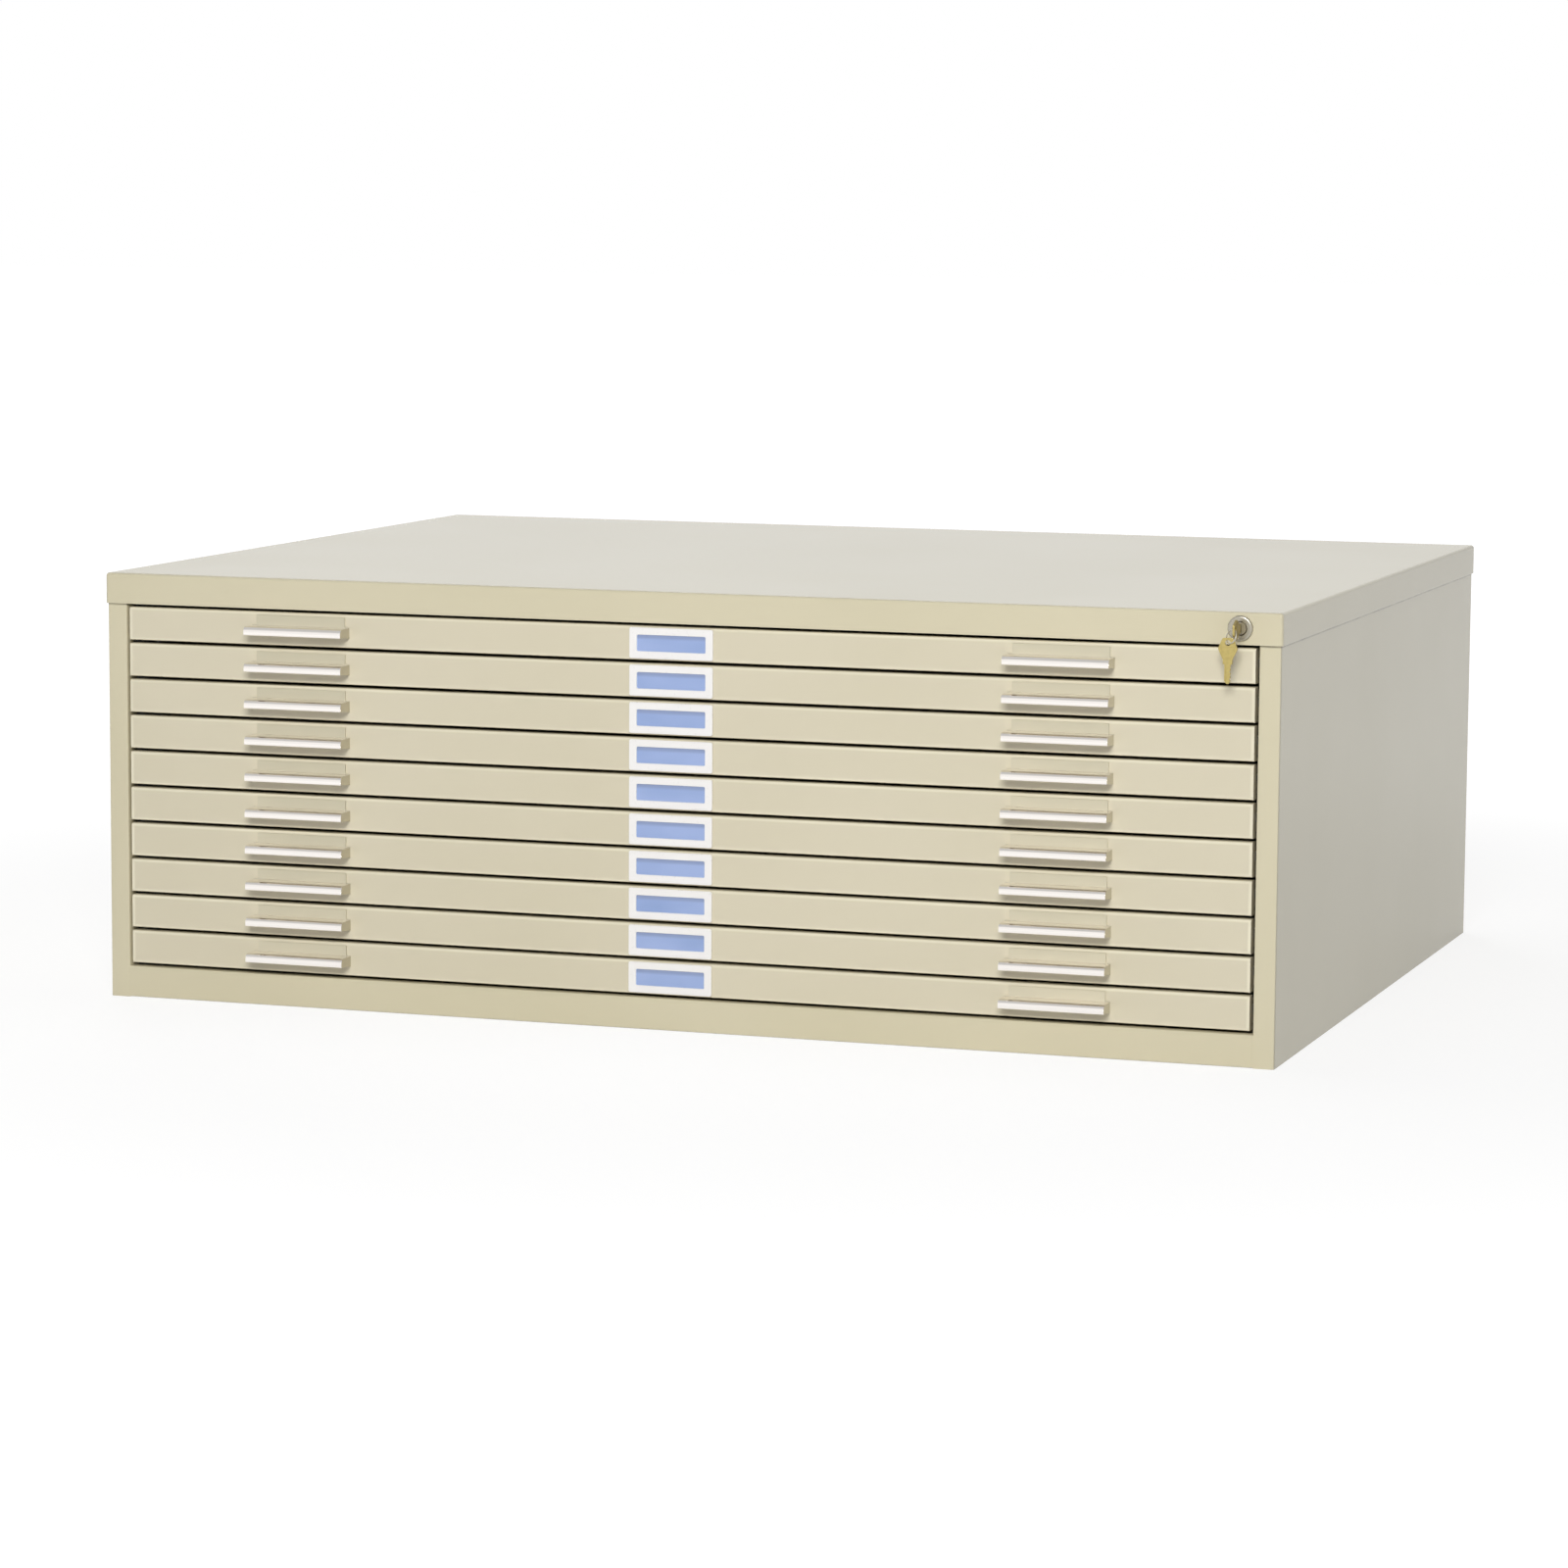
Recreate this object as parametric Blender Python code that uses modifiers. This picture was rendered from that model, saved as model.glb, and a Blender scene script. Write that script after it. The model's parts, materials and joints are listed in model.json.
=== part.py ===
"""A ten-drawer steel flat file cabinet for 30 x 42 inch sheets, as an assembly of its real pieces.

Metres, +Z up. +X is to the right seen from the front, and the drawers open towards -Y.
The origin is on the floor, at the centre of the case's footprint. At rest every drawer is shut,
the lock is open and its key stands in it, with the spare key hanging on a ring.
"""

import math

import bmesh
import bpy
from mathutils import Matrix, Vector

MM = 0.001
COLLECTION_NAME = "flat_file_cabinet"

# Case: the folded sheet shell round the drawers
CASE_WIDTH = 1177.9 * MM
CASE_DEPTH = 898.5 * MM
CASE_SHEET = 1.2 * MM
SEAT = 0.3 * MM
DRAWER_COUNT = 10
FRONT_HEIGHT = 32.5 * MM
FRONT_GAP = 3.0 * MM
SIDE_GAP = 3.0 * MM
RAIL_HEIGHT = 31.2 * MM
CAP_HEIGHT = 29.9 * MM
CAP_CORNER = 3.2 * MM
CAP_LIP = 11.0 * MM
STILE_WIDTH = 20.8 * MM
JAMB_DEPTH = 14.0 * MM
BACK_FLANGE = 16.0 * MM
RAIL_RETURN = 12.0 * MM
RAIL_HEM = 7.0 * MM
BASE_UPSTAND = 15.0 * MM
CASE_BEND = 2.0 * MM
STIFFENER_HEIGHT = 14.0 * MM
STIFFENER_CROWN = 40.0 * MM
STIFFENER_FOOT = 14.0 * MM

# Drawer: a shallow tray behind a folded front
TRAY_SHEET = 0.8 * MM
TRAY_LIFT = 0.7 * MM
TRAY_TOP = 26.5 * MM
TRAY_FLANGE = 12.0 * MM
TRAY_LIP = 4.0 * MM
TRAY_DEPTH = 817.5 * MM
TRAY_BEND = 1.4 * MM
RUNNER_ROOM = 16.4 * MM
FRONT_DEPTH = 13.0 * MM
FRONT_BEND = 2.2 * MM
FRONT_HEM = 6.0 * MM
FRONT_FOOT = 10.0 * MM
INNER_FRONT_LAP = 2.0 * MM
HOOD_DEPTH = 130.0 * MM
HOOD_LIP = 4.5 * MM

# Roller slides
ROLLER_CLEARANCE = 2.5 * MM
ROLLER_WIDTH = 8.0 * MM
AXLE_RADIUS = 2.6 * MM
FRONT_ROLLER_RADIUS = 7.5 * MM
FRONT_ROLLER_SETBACK = 50.0 * MM
REAR_ROLLER_RADIUS = 7.0 * MM
REAR_ROLLER_INSET = 18.0 * MM
RUNNER_LIFT = 1.8 * MM
RUNNER_CLEARANCE = 1.5 * MM
RUNNER_SETBACK = 38.0 * MM
RUNNER_LENGTH = 812.0 * MM
ROLLER_NOTCH = 4.0 * MM
EAR_RISE = 5.0 * MM
EAR_LENGTH = 26.0 * MM
UPRIGHT_WIDTH = 40.0 * MM
UPRIGHT_FOOT = 12.0 * MM
UPRIGHT_FRONT_INSET = 34.0 * MM
UPRIGHT_BACK_INSET = 30.0 * MM

# Drawer pulls
PULL_OFFSET = 381.0 * MM
PULL_WIDTH = 101.6 * MM
PULL_FLANGE_WIDTH = 93.0 * MM
PULL_SHEET = 1.4 * MM
PULL_REACH = 22.5 * MM
PULL_TOP = 29.5 * MM
PULL_SHELF = 19.5 * MM
PULL_LIP_BOTTOM = 10.8 * MM
PULL_NOSE = 4.6 * MM
PULL_ROLL = 2.2 * MM
PULL_CHEEK_DROP = 1.6 * MM

# Label holders
HOLDER_WIDTH = 83.7 * MM
HOLDER_HEIGHT = 29.5 * MM
HOLDER_LIFT = 1.6 * MM
HOLDER_DEPTH = 1.9 * MM
HOLDER_CORNER = 2.0 * MM
WINDOW_WIDTH = 68.9 * MM
WINDOW_HEIGHT = 15.7 * MM
WINDOW_LIFT = 8.5 * MM
WINDOW_DEPTH = 1.0 * MM

# Lock: a cam lock in the header that works a bar with one finger for each drawer
LOCK_INSET = 17.1 * MM
LOCK_RISE = 15.3 * MM
BEZEL_RADIUS = 11.65 * MM
BEZEL_THICKNESS = 3.2 * MM
BEZEL_CHAMFER = 1.4 * MM
BARREL_RADIUS = 9.5 * MM
BARREL_LENGTH = 18.0 * MM
PLUG_RADIUS = 6.2 * MM
PLUG_RECESS = 0.6 * MM
PLUG_TAIL = 2.0 * MM
RUNNING_GAP = 0.3 * MM
NUT_ACROSS = 24.0 * MM
NUT_THICKNESS = 4.0 * MM
CAM_THICKNESS = 2.0 * MM
CAM_HUB = 6.2 * MM
CAM_NOSE = 3.6 * MM
CAM_THROW = 6.0 * MM
CAM_START_DEG = 45.0
PIN_RADIUS = 2.0 * MM
PIN_GAP = 0.5 * MM
BAR_THICKNESS = 3.0 * MM
BAR_WIDTH = 13.0 * MM
BAR_WALL = 1.8 * MM
BAR_HEAD = 11.0 * MM
BAR_TAIL = 8.0 * MM
FINGER_REACH = 3.4 * MM
FINGER_HEIGHT = 7.0 * MM
FINGER_LIFT = 13.5 * MM
TAB_REACH = 13.4 * MM
TAB_FOOT = 12.0 * MM
TAB_SHEET = 1.5 * MM
TAB_LIFT = 3.5 * MM
TAB_HEIGHT = 9.0 * MM
TAB_PLAY = 4.0 * MM
GUIDE_SHEET = 1.2 * MM
GUIDE_HEIGHT = 16.0 * MM
GUIDE_REACH = 11.0 * MM

# Keys on a ring
KEY_THICKNESS = 1.8 * MM
KEY_LENGTH = 41.8 * MM
KEY_BOW_LENGTH = 24.0 * MM
KEY_END_HALF = 4.8 * MM
KEY_CORNER = 2.2 * MM
KEY_BOW_HALF = 9.1 * MM
KEY_WIDEST_AT = 10.0 * MM
KEY_NECK_AT = 20.0 * MM
KEY_NECK_HALF = 4.4 * MM
KEY_BLADE_HALF = 2.9 * MM
KEY_TIP_HALF = 1.0 * MM
KEY_TIP_LENGTH = 2.6 * MM
KEY_CUTS = 4
KEY_CUT_START = 2.2 * MM
KEY_CUT_PITCH = 3.4 * MM
KEY_CUT_WIDTH = 2.4 * MM
KEY_CUT_DEPTH = 1.2 * MM
KEY_HOLE_RADIUS = 2.7 * MM
KEY_HOLE_RIM = 1.8 * MM
KEYWAY_GAP = 0.3 * MM
KEY_STANDOFF = 0.5 * MM
RING_RADIUS = 6.5 * MM
RING_WIRE = 0.75 * MM
RING_LEAN = 6.0 * MM

# How finely round shapes are faceted
BEND_STEPS = 2
HIDDEN_BEND_STEPS = 1
ROLLER_SIDES = 12
AXLE_SIDES = 6
LOCK_SIDES = 24
RING_SIDES = 20
WIRE_SIDES = 6
OVERLAP = 0.4 * MM

# Places worked out from the sizes above
PITCH = FRONT_HEIGHT + FRONT_GAP
STACK_BOTTOM = RAIL_HEIGHT + FRONT_GAP
CAP_BOTTOM = STACK_BOTTOM + DRAWER_COUNT * PITCH
CASE_HEIGHT = CAP_BOTTOM + CAP_HEIGHT
SIDE_X = CASE_WIDTH / 2 - CASE_SHEET - SEAT
OPENING_X = SIDE_X - STILE_WIDTH
FRONT_X = OPENING_X - SIDE_GAP
TRAY_X = OPENING_X - RUNNER_ROOM
HEADER_Y = -CASE_DEPTH / 2
FACE_Y = HEADER_Y + CASE_SHEET + SEAT
BACK_Y = CASE_DEPTH / 2 - CASE_SHEET - SEAT
PANEL_TOP = CASE_HEIGHT - CAP_CORNER - SEAT
LOCK_X = OPENING_X - LOCK_INSET
LOCK_Z = CAP_BOTTOM + LOCK_RISE
LOCK_FACE_Y = HEADER_Y - SEAT - BEZEL_THICKNESS
PLUG_FACE_Y = LOCK_FACE_Y + PLUG_RECESS
PLUG_BACK_Y = HEADER_Y + BARREL_LENGTH + PLUG_TAIL
CAM_Y = PLUG_BACK_Y + SEAT
BAR_Y = CAM_Y + CAM_THICKNESS + RUNNING_GAP
BAR_X = SIDE_X - CASE_SHEET - SEAT - GUIDE_SHEET - RUNNING_GAP - BAR_WIDTH
TAB_Y = BAR_Y + BAR_THICKNESS + TAB_PLAY
KEY_HOLE_AT = KEY_HOLE_RIM + KEY_HOLE_RADIUS
KEY_HOLE_Y = PLUG_FACE_Y - KEY_STANDOFF - KEY_BOW_LENGTH + KEY_HOLE_AT
RING_DROP = math.sqrt((2 * RING_RADIUS) ** 2 - RING_LEAN**2)

# Planes in which an outline is drawn: its (u, v) and the direction it is extruded along
ALONG_X = Matrix(((0, 0, 1, 0), (1, 0, 0, 0), (0, 1, 0, 0), (0, 0, 0, 1)))
ALONG_Y = Matrix(((1, 0, 0, 0), (0, 0, -1, 0), (0, 1, 0, 0), (0, 0, 0, 1)))
ALONG_Z = Matrix.Identity(4)

# Finishes: colour, roughness and metallic value
FINISHES = {
    "putty_enamel": ((0.62, 0.57, 0.42), 0.42, 0.0),
    "chromed_steel": ((0.80, 0.79, 0.77), 0.14, 1.0),
    "label_holder": ((0.86, 0.85, 0.82), 0.35, 0.0),
    "zinc_steel": ((0.58, 0.59, 0.60), 0.38, 1.0),
    "key_brass": ((0.66, 0.54, 0.22), 0.30, 1.0),
}


# Shape helpers


def rounded(points, radii, steps=BEND_STEPS):
    """The open path through points, with an arc at each corner between its ends.

    radii is one radius for all the corners, or a list with one for each.
    """
    path = [Vector(points[0])]
    if not isinstance(radii, list):
        radii = [radii] * (len(points) - 2)
    for before, corner, after, radius in zip(points, points[1:], points[2:], radii):
        corner = Vector(corner)
        back = (Vector(before) - corner).normalized()
        ahead = (Vector(after) - corner).normalized()
        half = back.angle(ahead) / 2
        centre = corner + (back + ahead).normalized() * (radius / math.sin(half))
        start = corner + back * (radius / math.tan(half)) - centre
        end = corner + ahead * (radius / math.tan(half)) - centre
        turn = start.angle_signed(end)
        for step in range(steps + 1):
            angle = -turn * step / steps
            path.append(centre + Matrix.Rotation(angle, 2) @ start)
    path.append(Vector(points[-1]))
    return path


def arc(centre, radius, start_deg, end_deg, steps):
    """Points on an arc, both ends included."""
    points = []
    for step in range(steps + 1):
        angle = math.radians(start_deg + (end_deg - start_deg) * step / steps)
        points.append(Vector(centre) + radius * Vector((math.cos(angle), math.sin(angle))))
    return points


def rectangle(low_u, low_v, high_u, high_v):
    return [(low_u, low_v), (high_u, low_v), (high_u, high_v), (low_u, high_v)]


def baked(source):
    """A closed mesh of what the object looks like with its modifiers, in world space. The object goes."""
    scene = bpy.context.scene
    if source.name not in scene.collection.all_objects:
        scene.collection.objects.link(source)
    bpy.context.view_layer.update()
    graph = bpy.context.evaluated_depsgraph_get()
    mesh = bpy.data.meshes.new_from_object(source.evaluated_get(graph))
    mesh.transform(source.matrix_world)
    work = bmesh.new()
    work.from_mesh(mesh)
    bmesh.ops.remove_doubles(work, verts=work.verts, dist=MM / 1000)
    bmesh.ops.recalc_face_normals(work, faces=work.faces)
    work.to_mesh(mesh)
    work.free()
    bpy.data.objects.remove(source)
    return mesh


def curve_from(loops, reach, cyclic):
    """A flat curve object through the loops, extruded by reach to each side of its plane."""
    curve = bpy.data.curves.new("outline", "CURVE")
    curve.dimensions = "2D"
    curve.fill_mode = "BOTH" if cyclic else "NONE"
    curve.extrude = reach
    for loop in loops:
        spline = curve.splines.new("POLY")
        spline.points.add(len(loop) - 1)
        for point, place in zip(spline.points, loop):
            point.co = (place[0], place[1], 0, 1)
        spline.use_cyclic_u = cyclic
    return bpy.data.objects.new("outline", curve)


def plate(loops, low, high, plane):
    """A flat plate with this outline, and any further loops as holes, from low to high across its plane."""
    source = curve_from(loops, (high - low) / 2, True)
    source.matrix_world = plane @ Matrix.Translation((0, 0, (low + high) / 2))
    return baked(source)


def folded(path, low, high, thickness, plane):
    """Sheet of this thickness folded along the path, which is its middle, from low to high."""
    source = curve_from([path], (high - low) / 2, False)
    source.matrix_world = plane @ Matrix.Translation((0, 0, (low + high) / 2))
    strip = bpy.data.objects.new("strip", baked(source))
    skin = strip.modifiers.new("sheet", "SOLIDIFY")
    skin.thickness = thickness
    skin.offset = 0
    skin.use_even_offset = True
    return baked(strip)


def block(low, high):
    """A box from its low corner to its high corner."""
    work = bmesh.new()
    bmesh.ops.create_cube(work, size=1)
    size = Vector(high) - Vector(low)
    place = Matrix.Translation((Vector(low) + Vector(high)) / 2) @ Matrix.Diagonal((*size, 1))
    bmesh.ops.transform(work, matrix=place, verts=work.verts)
    mesh = bpy.data.meshes.new("block")
    work.to_mesh(mesh)
    work.free()
    return mesh


def rod(start, end, radius, sides):
    """A round bar between two points."""
    start = Vector(start)
    run = Vector(end) - start
    work = bmesh.new()
    bmesh.ops.create_cone(
        work, cap_ends=True, segments=sides, radius1=radius, radius2=radius, depth=run.length
    )
    turn = run.to_track_quat("Z", "Y").to_matrix().to_4x4()
    bmesh.ops.transform(work, matrix=Matrix.Translation(start + run / 2) @ turn, verts=work.verts)
    mesh = bpy.data.meshes.new("rod")
    work.to_mesh(mesh)
    work.free()
    return mesh


def turned(profile, sides):
    """A ring turned about the Y axis from a closed profile of (radius, y) points."""
    work = bmesh.new()
    points = [work.verts.new((radius, place, 0)) for radius, place in profile]
    for first, second in zip(points, points[1:] + points[:1]):
        work.edges.new((first, second))
    mesh = bpy.data.meshes.new("profile")
    work.to_mesh(mesh)
    work.free()
    source = bpy.data.objects.new("profile", mesh)
    screw = source.modifiers.new("turn", "SCREW")
    screw.axis = "Y"
    screw.steps = sides
    screw.render_steps = sides
    screw.use_merge_vertices = True
    screw.merge_threshold = MM / 1000
    return baked(source)


def combine(first, others, operation):
    """The first mesh joined with the others, or cut by them."""
    source = bpy.data.objects.new("body", first)
    tools = bpy.data.collections.new("tools")
    for mesh in others:
        tools.objects.link(bpy.data.objects.new("tool", mesh))
    step = source.modifiers.new(operation.lower(), "BOOLEAN")
    step.operation = operation
    step.operand_type = "COLLECTION"
    step.collection = tools
    step.solver = "EXACT"
    mesh = baked(source)
    for tool in list(tools.objects):
        bpy.data.objects.remove(tool)
    bpy.data.collections.remove(tools)
    return mesh


def joined(meshes):
    return combine(meshes[0], meshes[1:], "UNION")


def cut(mesh, cutters):
    return combine(mesh, cutters, "DIFFERENCE")


def moved(mesh, offset):
    """A copy of the mesh, shifted."""
    copy = mesh.copy()
    copy.transform(Matrix.Translation(offset))
    return copy


def mirrored(mesh):
    """A copy of the mesh on the other side of the middle plane."""
    copy = mesh.copy()
    copy.transform(Matrix.Scale(-1, 4, (1, 0, 0)))
    copy.flip_normals()
    return copy


# Placing


def make_material(name):
    colour, roughness, metallic = FINISHES[name]
    material = bpy.data.materials.new(name)
    material.use_nodes = True
    shader = material.node_tree.nodes["Principled BSDF"]
    shader.inputs["Base Color"].default_value = (*colour, 1)
    shader.inputs["Roughness"].default_value = roughness
    shader.inputs["Metallic"].default_value = metallic
    material.diffuse_color = (*colour, 1)
    return material


def pivot(name, place, parent=None):
    """An empty on a moving body's joint axis, at a world position."""
    empty = bpy.data.objects.new(name, None)
    bpy.data.collections[COLLECTION_NAME].objects.link(empty)
    empty.location = Vector(place) - (parent.matrix_world.translation if parent else Vector())
    empty.parent = parent
    bpy.context.view_layer.update()
    return empty


def piece(name, mesh, material, parent=None):
    """A named sub-part. Its mesh is given about its parent's place, or about the origin."""
    mesh.name = name
    node = bpy.data.objects.new(name, mesh)
    bpy.data.collections[COLLECTION_NAME].objects.link(node)
    node.parent = parent
    if not mesh.materials:
        mesh.materials.append(bpy.data.materials[material])
    mesh.shade_smooth()
    mesh.set_sharp_from_angle(angle=math.radians(30))
    return node


# Case


def top_cap():
    """The cap: a shallow pan turned over, whose front flange is the header above the drawers."""
    high = Vector((CASE_WIDTH / 2, CASE_DEPTH / 2, CASE_HEIGHT))
    shell = bpy.data.objects.new("shell", block((-high.x, -high.y, CAP_BOTTOM), high))
    work = bmesh.new()
    work.from_mesh(shell.data)
    bmesh.ops.delete(work, geom=[f for f in work.faces if f.normal.z < -0.5], context="FACES_ONLY")
    work.to_mesh(shell.data)
    work.free()
    bevel = shell.modifiers.new("bends", "BEVEL")
    bevel.width = CAP_CORNER
    bevel.segments = BEND_STEPS + 1
    skin = shell.modifiers.new("sheet", "SOLIDIFY")
    skin.thickness = CASE_SHEET
    skin.offset = -1
    skin.use_even_offset = True
    inner_y = HEADER_Y + CASE_SHEET
    reach_x = OPENING_X - SEAT
    lip = block(
        (-reach_x, inner_y - OVERLAP, CAP_BOTTOM),
        (reach_x, inner_y + CAP_LIP, CAP_BOTTOM + CASE_SHEET),
    )
    hole = rod(
        (LOCK_X, HEADER_Y - CASE_SHEET, LOCK_Z),
        (LOCK_X, inner_y + CASE_SHEET, LOCK_Z),
        BARREL_RADIUS + RUNNING_GAP,
        LOCK_SIDES,
    )
    return cut(joined([baked(shell), lip]), [hole])


def side_panel():
    """The right side: one sheet folded into the side, the front stile with its jamb, and the back flange."""
    half = CASE_SHEET / 2
    outer_x = SIDE_X - half
    path = rounded(
        [
            (outer_x - BACK_FLANGE, BACK_Y - CASE_SHEET - SEAT - half),
            (outer_x, BACK_Y - CASE_SHEET - SEAT - half),
            (outer_x, FACE_Y + half),
            (OPENING_X + half, FACE_Y + half),
            (OPENING_X + half, FACE_Y + JAMB_DEPTH),
        ],
        CASE_BEND,
    )
    return folded(path, 0, PANEL_TOP, CASE_SHEET, ALONG_Z)


def back_panel():
    reach = SIDE_X - CAP_CORNER
    return block((-reach, BACK_Y - CASE_SHEET, 0), (reach, BACK_Y, PANEL_TOP))


def bottom_panel():
    """The base: a flat sheet on the floor with its two sides turned up against the side panels."""
    half = CASE_SHEET / 2
    reach = SIDE_X - CASE_SHEET - SEAT - half
    path = rounded(
        [(-reach, BASE_UPSTAND), (-reach, half), (reach, half), (reach, BASE_UPSTAND)], CASE_BEND
    )
    front = FACE_Y + JAMB_DEPTH + SEAT
    back = BACK_Y - 2 * (CASE_SHEET + SEAT) - CASE_BEND
    return folded(path, -back, -front, CASE_SHEET, ALONG_Y)


def bottom_rail():
    """The rail under the lowest drawer, folded back at its top and bottom."""
    half = CASE_SHEET / 2
    back = FACE_Y + RAIL_RETURN
    path = rounded(
        [
            (back, RAIL_HEIGHT - RAIL_HEM),
            (back, RAIL_HEIGHT - half),
            (FACE_Y + half, RAIL_HEIGHT - half),
            (FACE_Y + half, half),
            (back, half),
        ],
        CASE_BEND,
    )
    reach = OPENING_X - SEAT
    return folded(path, -reach, reach, CASE_SHEET, ALONG_X)


def cap_stiffener():
    """The top-hat channel across the underside of the cap."""
    half = CASE_SHEET / 2
    top = CASE_HEIGHT - CASE_SHEET - SEAT - half
    low = top - STIFFENER_HEIGHT
    crown = STIFFENER_CROWN / 2
    foot = crown + STIFFENER_FOOT
    path = rounded(
        [(-foot, top), (-crown, top), (-crown, low), (crown, low), (crown, top), (foot, top)],
        CASE_BEND,
        HIDDEN_BEND_STEPS,
    )
    reach = SIDE_X - CASE_SHEET - SEAT
    return folded(path, -reach, reach, CASE_SHEET, ALONG_X)


# Roller slides


def drawer_bottom(number):
    """Height of the lower edge of a drawer's front. Drawer 1 is at the top."""
    return STACK_BOTTOM + (DRAWER_COUNT - number) * PITCH


def runner():
    """One right-hand channel with its front roller, about its drawer's lower front edge."""
    half = CASE_SHEET / 2
    inner = TRAY_X + RUNNER_CLEARANCE
    web = OPENING_X - half
    low = RUNNER_LIFT + half
    high = RUNNER_LIFT + 2 * (CASE_SHEET + SEAT + REAR_ROLLER_RADIUS) - half
    front = RUNNER_SETBACK
    axle_y = FRONT_ROLLER_SETBACK
    axle_z = TRAY_TOP - TRAY_SHEET - SEAT - FRONT_ROLLER_RADIUS
    flange_front = axle_y + FRONT_ROLLER_RADIUS + ROLLER_NOTCH
    channel = folded(
        [(inner, low), (web, low), (web, high), (inner, high)],
        -(front + RUNNER_LENGTH),
        -flange_front,
        CASE_SHEET,
        ALONG_Y,
    )
    ear = plate(
        [
            rounded(
                [
                    (flange_front + ROLLER_NOTCH, low),
                    (front, low),
                    (front, axle_z + EAR_RISE),
                    (front + EAR_LENGTH, axle_z + EAR_RISE),
                    (flange_front + ROLLER_NOTCH, high),
                ],
                CASE_BEND,
                HIDDEN_BEND_STEPS,
            )
        ],
        OPENING_X - CASE_SHEET,
        OPENING_X,
        ALONG_X,
    )
    near = TRAY_X + ROLLER_CLEARANCE
    far = near + ROLLER_WIDTH
    axle = rod(
        (far - OVERLAP, axle_y, axle_z), (OPENING_X - OVERLAP, axle_y, axle_z), AXLE_RADIUS, AXLE_SIDES
    )
    roller = rod((near, axle_y, axle_z), (far, axle_y, axle_z), FRONT_ROLLER_RADIUS, ROLLER_SIDES)
    return [channel, ear, axle, roller]


def runner_rack():
    """The right-hand rack: two uprights that carry a runner for each drawer."""
    half = CASE_SHEET / 2
    inner = OPENING_X + half - OVERLAP
    outer = SIDE_X - CASE_SHEET - SEAT - half
    first = FACE_Y + RUNNER_SETBACK + UPRIGHT_FRONT_INSET
    last = FACE_Y + RUNNER_SETBACK + RUNNER_LENGTH - UPRIGHT_BACK_INSET - UPRIGHT_WIDTH
    parts = []
    for front in (first, last):
        back = front + UPRIGHT_WIDTH
        path = rounded(
            [
                (outer, front - UPRIGHT_FOOT),
                (outer, front),
                (inner, front),
                (inner, back),
                (outer, back),
                (outer, back + UPRIGHT_FOOT),
            ],
            CASE_BEND,
            HIDDEN_BEND_STEPS,
        )
        parts.append(folded(path, BASE_UPSTAND + SEAT, CAP_BOTTOM, CASE_SHEET, ALONG_Z))
    pattern = runner()
    for number in range(1, DRAWER_COUNT + 1):
        parts += [moved(mesh, (0, FACE_Y, drawer_bottom(number))) for mesh in pattern]
    return joined(parts)


# Drawer


def drawer_tray():
    """A drawer about its front's lower edge: tray, folded front, hood, rear rollers and lock tab."""
    half = TRAY_SHEET / 2
    return_y = FRONT_DEPTH - half
    tray_back = FRONT_DEPTH + TRAY_DEPTH
    front = folded(
        rounded(
            [
                (return_y, FRONT_HEIGHT - FRONT_HEM),
                (return_y, FRONT_HEIGHT - half),
                (half, FRONT_HEIGHT - half),
                (half, half),
                (FRONT_DEPTH + FRONT_FOOT, half),
            ],
            FRONT_BEND,
        ),
        -FRONT_X,
        FRONT_X,
        TRAY_SHEET,
        ALONG_X,
    )
    wall = TRAY_X - half
    floor = TRAY_LIFT + half
    rim = TRAY_TOP - half
    reach = TRAY_X + TRAY_FLANGE - half
    right = [(wall, rim), (reach, rim), (reach, TRAY_TOP - TRAY_LIP)]
    tray = folded(
        rounded(
            [(-u, v) for u, v in reversed(right)] + [(-wall, floor), (wall, floor)] + right,
            TRAY_BEND,
            HIDDEN_BEND_STEPS,
        ),
        -tray_back,
        -FRONT_DEPTH,
        TRAY_SHEET,
        ALONG_Y,
    )
    hood = folded(
        rounded(
            [
                (tray_back - HOOD_DEPTH, rim - HOOD_LIP),
                (tray_back - HOOD_DEPTH, rim),
                (tray_back - half, rim),
                (tray_back - half, floor),
            ],
            TRAY_BEND,
            HIDDEN_BEND_STEPS,
        ),
        -wall,
        wall,
        TRAY_SHEET,
        ALONG_X,
    )
    inner_front = block(
        (-wall, FRONT_DEPTH - half / 2, floor),
        (wall, FRONT_DEPTH + TRAY_SHEET, FRONT_HEIGHT - FRONT_HEM + INNER_FRONT_LAP),
    )
    parts = [front, tray, hood, inner_front]
    roller_y = tray_back - REAR_ROLLER_INSET
    roller_z = RUNNER_LIFT + CASE_SHEET + SEAT + REAR_ROLLER_RADIUS
    near = TRAY_X + ROLLER_CLEARANCE
    far = near + ROLLER_WIDTH
    for side in (-1, 1):
        parts.append(
            block(
                (side * FRONT_X - half * (1 + side), half, half),
                (side * FRONT_X + half * (1 - side), FRONT_DEPTH - half, FRONT_HEIGHT - half),
            )
        )
        parts.append(
            rod((side * wall, roller_y, roller_z), (side * (near + OVERLAP), roller_y, roller_z),
                AXLE_RADIUS, AXLE_SIDES)
        )
        parts.append(
            rod((side * near, roller_y, roller_z), (side * far, roller_y, roller_z),
                REAR_ROLLER_RADIUS, ROLLER_SIDES)
        )
    tab_y = TAB_Y - FACE_Y + TAB_SHEET / 2
    tab_x = TRAY_X + TAB_SHEET / 2 - half
    corners = [(TRAY_X + TAB_REACH, tab_y), (tab_x, tab_y), (tab_x, tab_y + TAB_FOOT)]
    tab = folded(
        rounded(corners, CASE_BEND, HIDDEN_BEND_STEPS),
        TAB_LIFT,
        TAB_LIFT + TAB_HEIGHT,
        TAB_SHEET,
        ALONG_Z,
    )
    parts.append(tab)
    return joined(parts)


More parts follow.
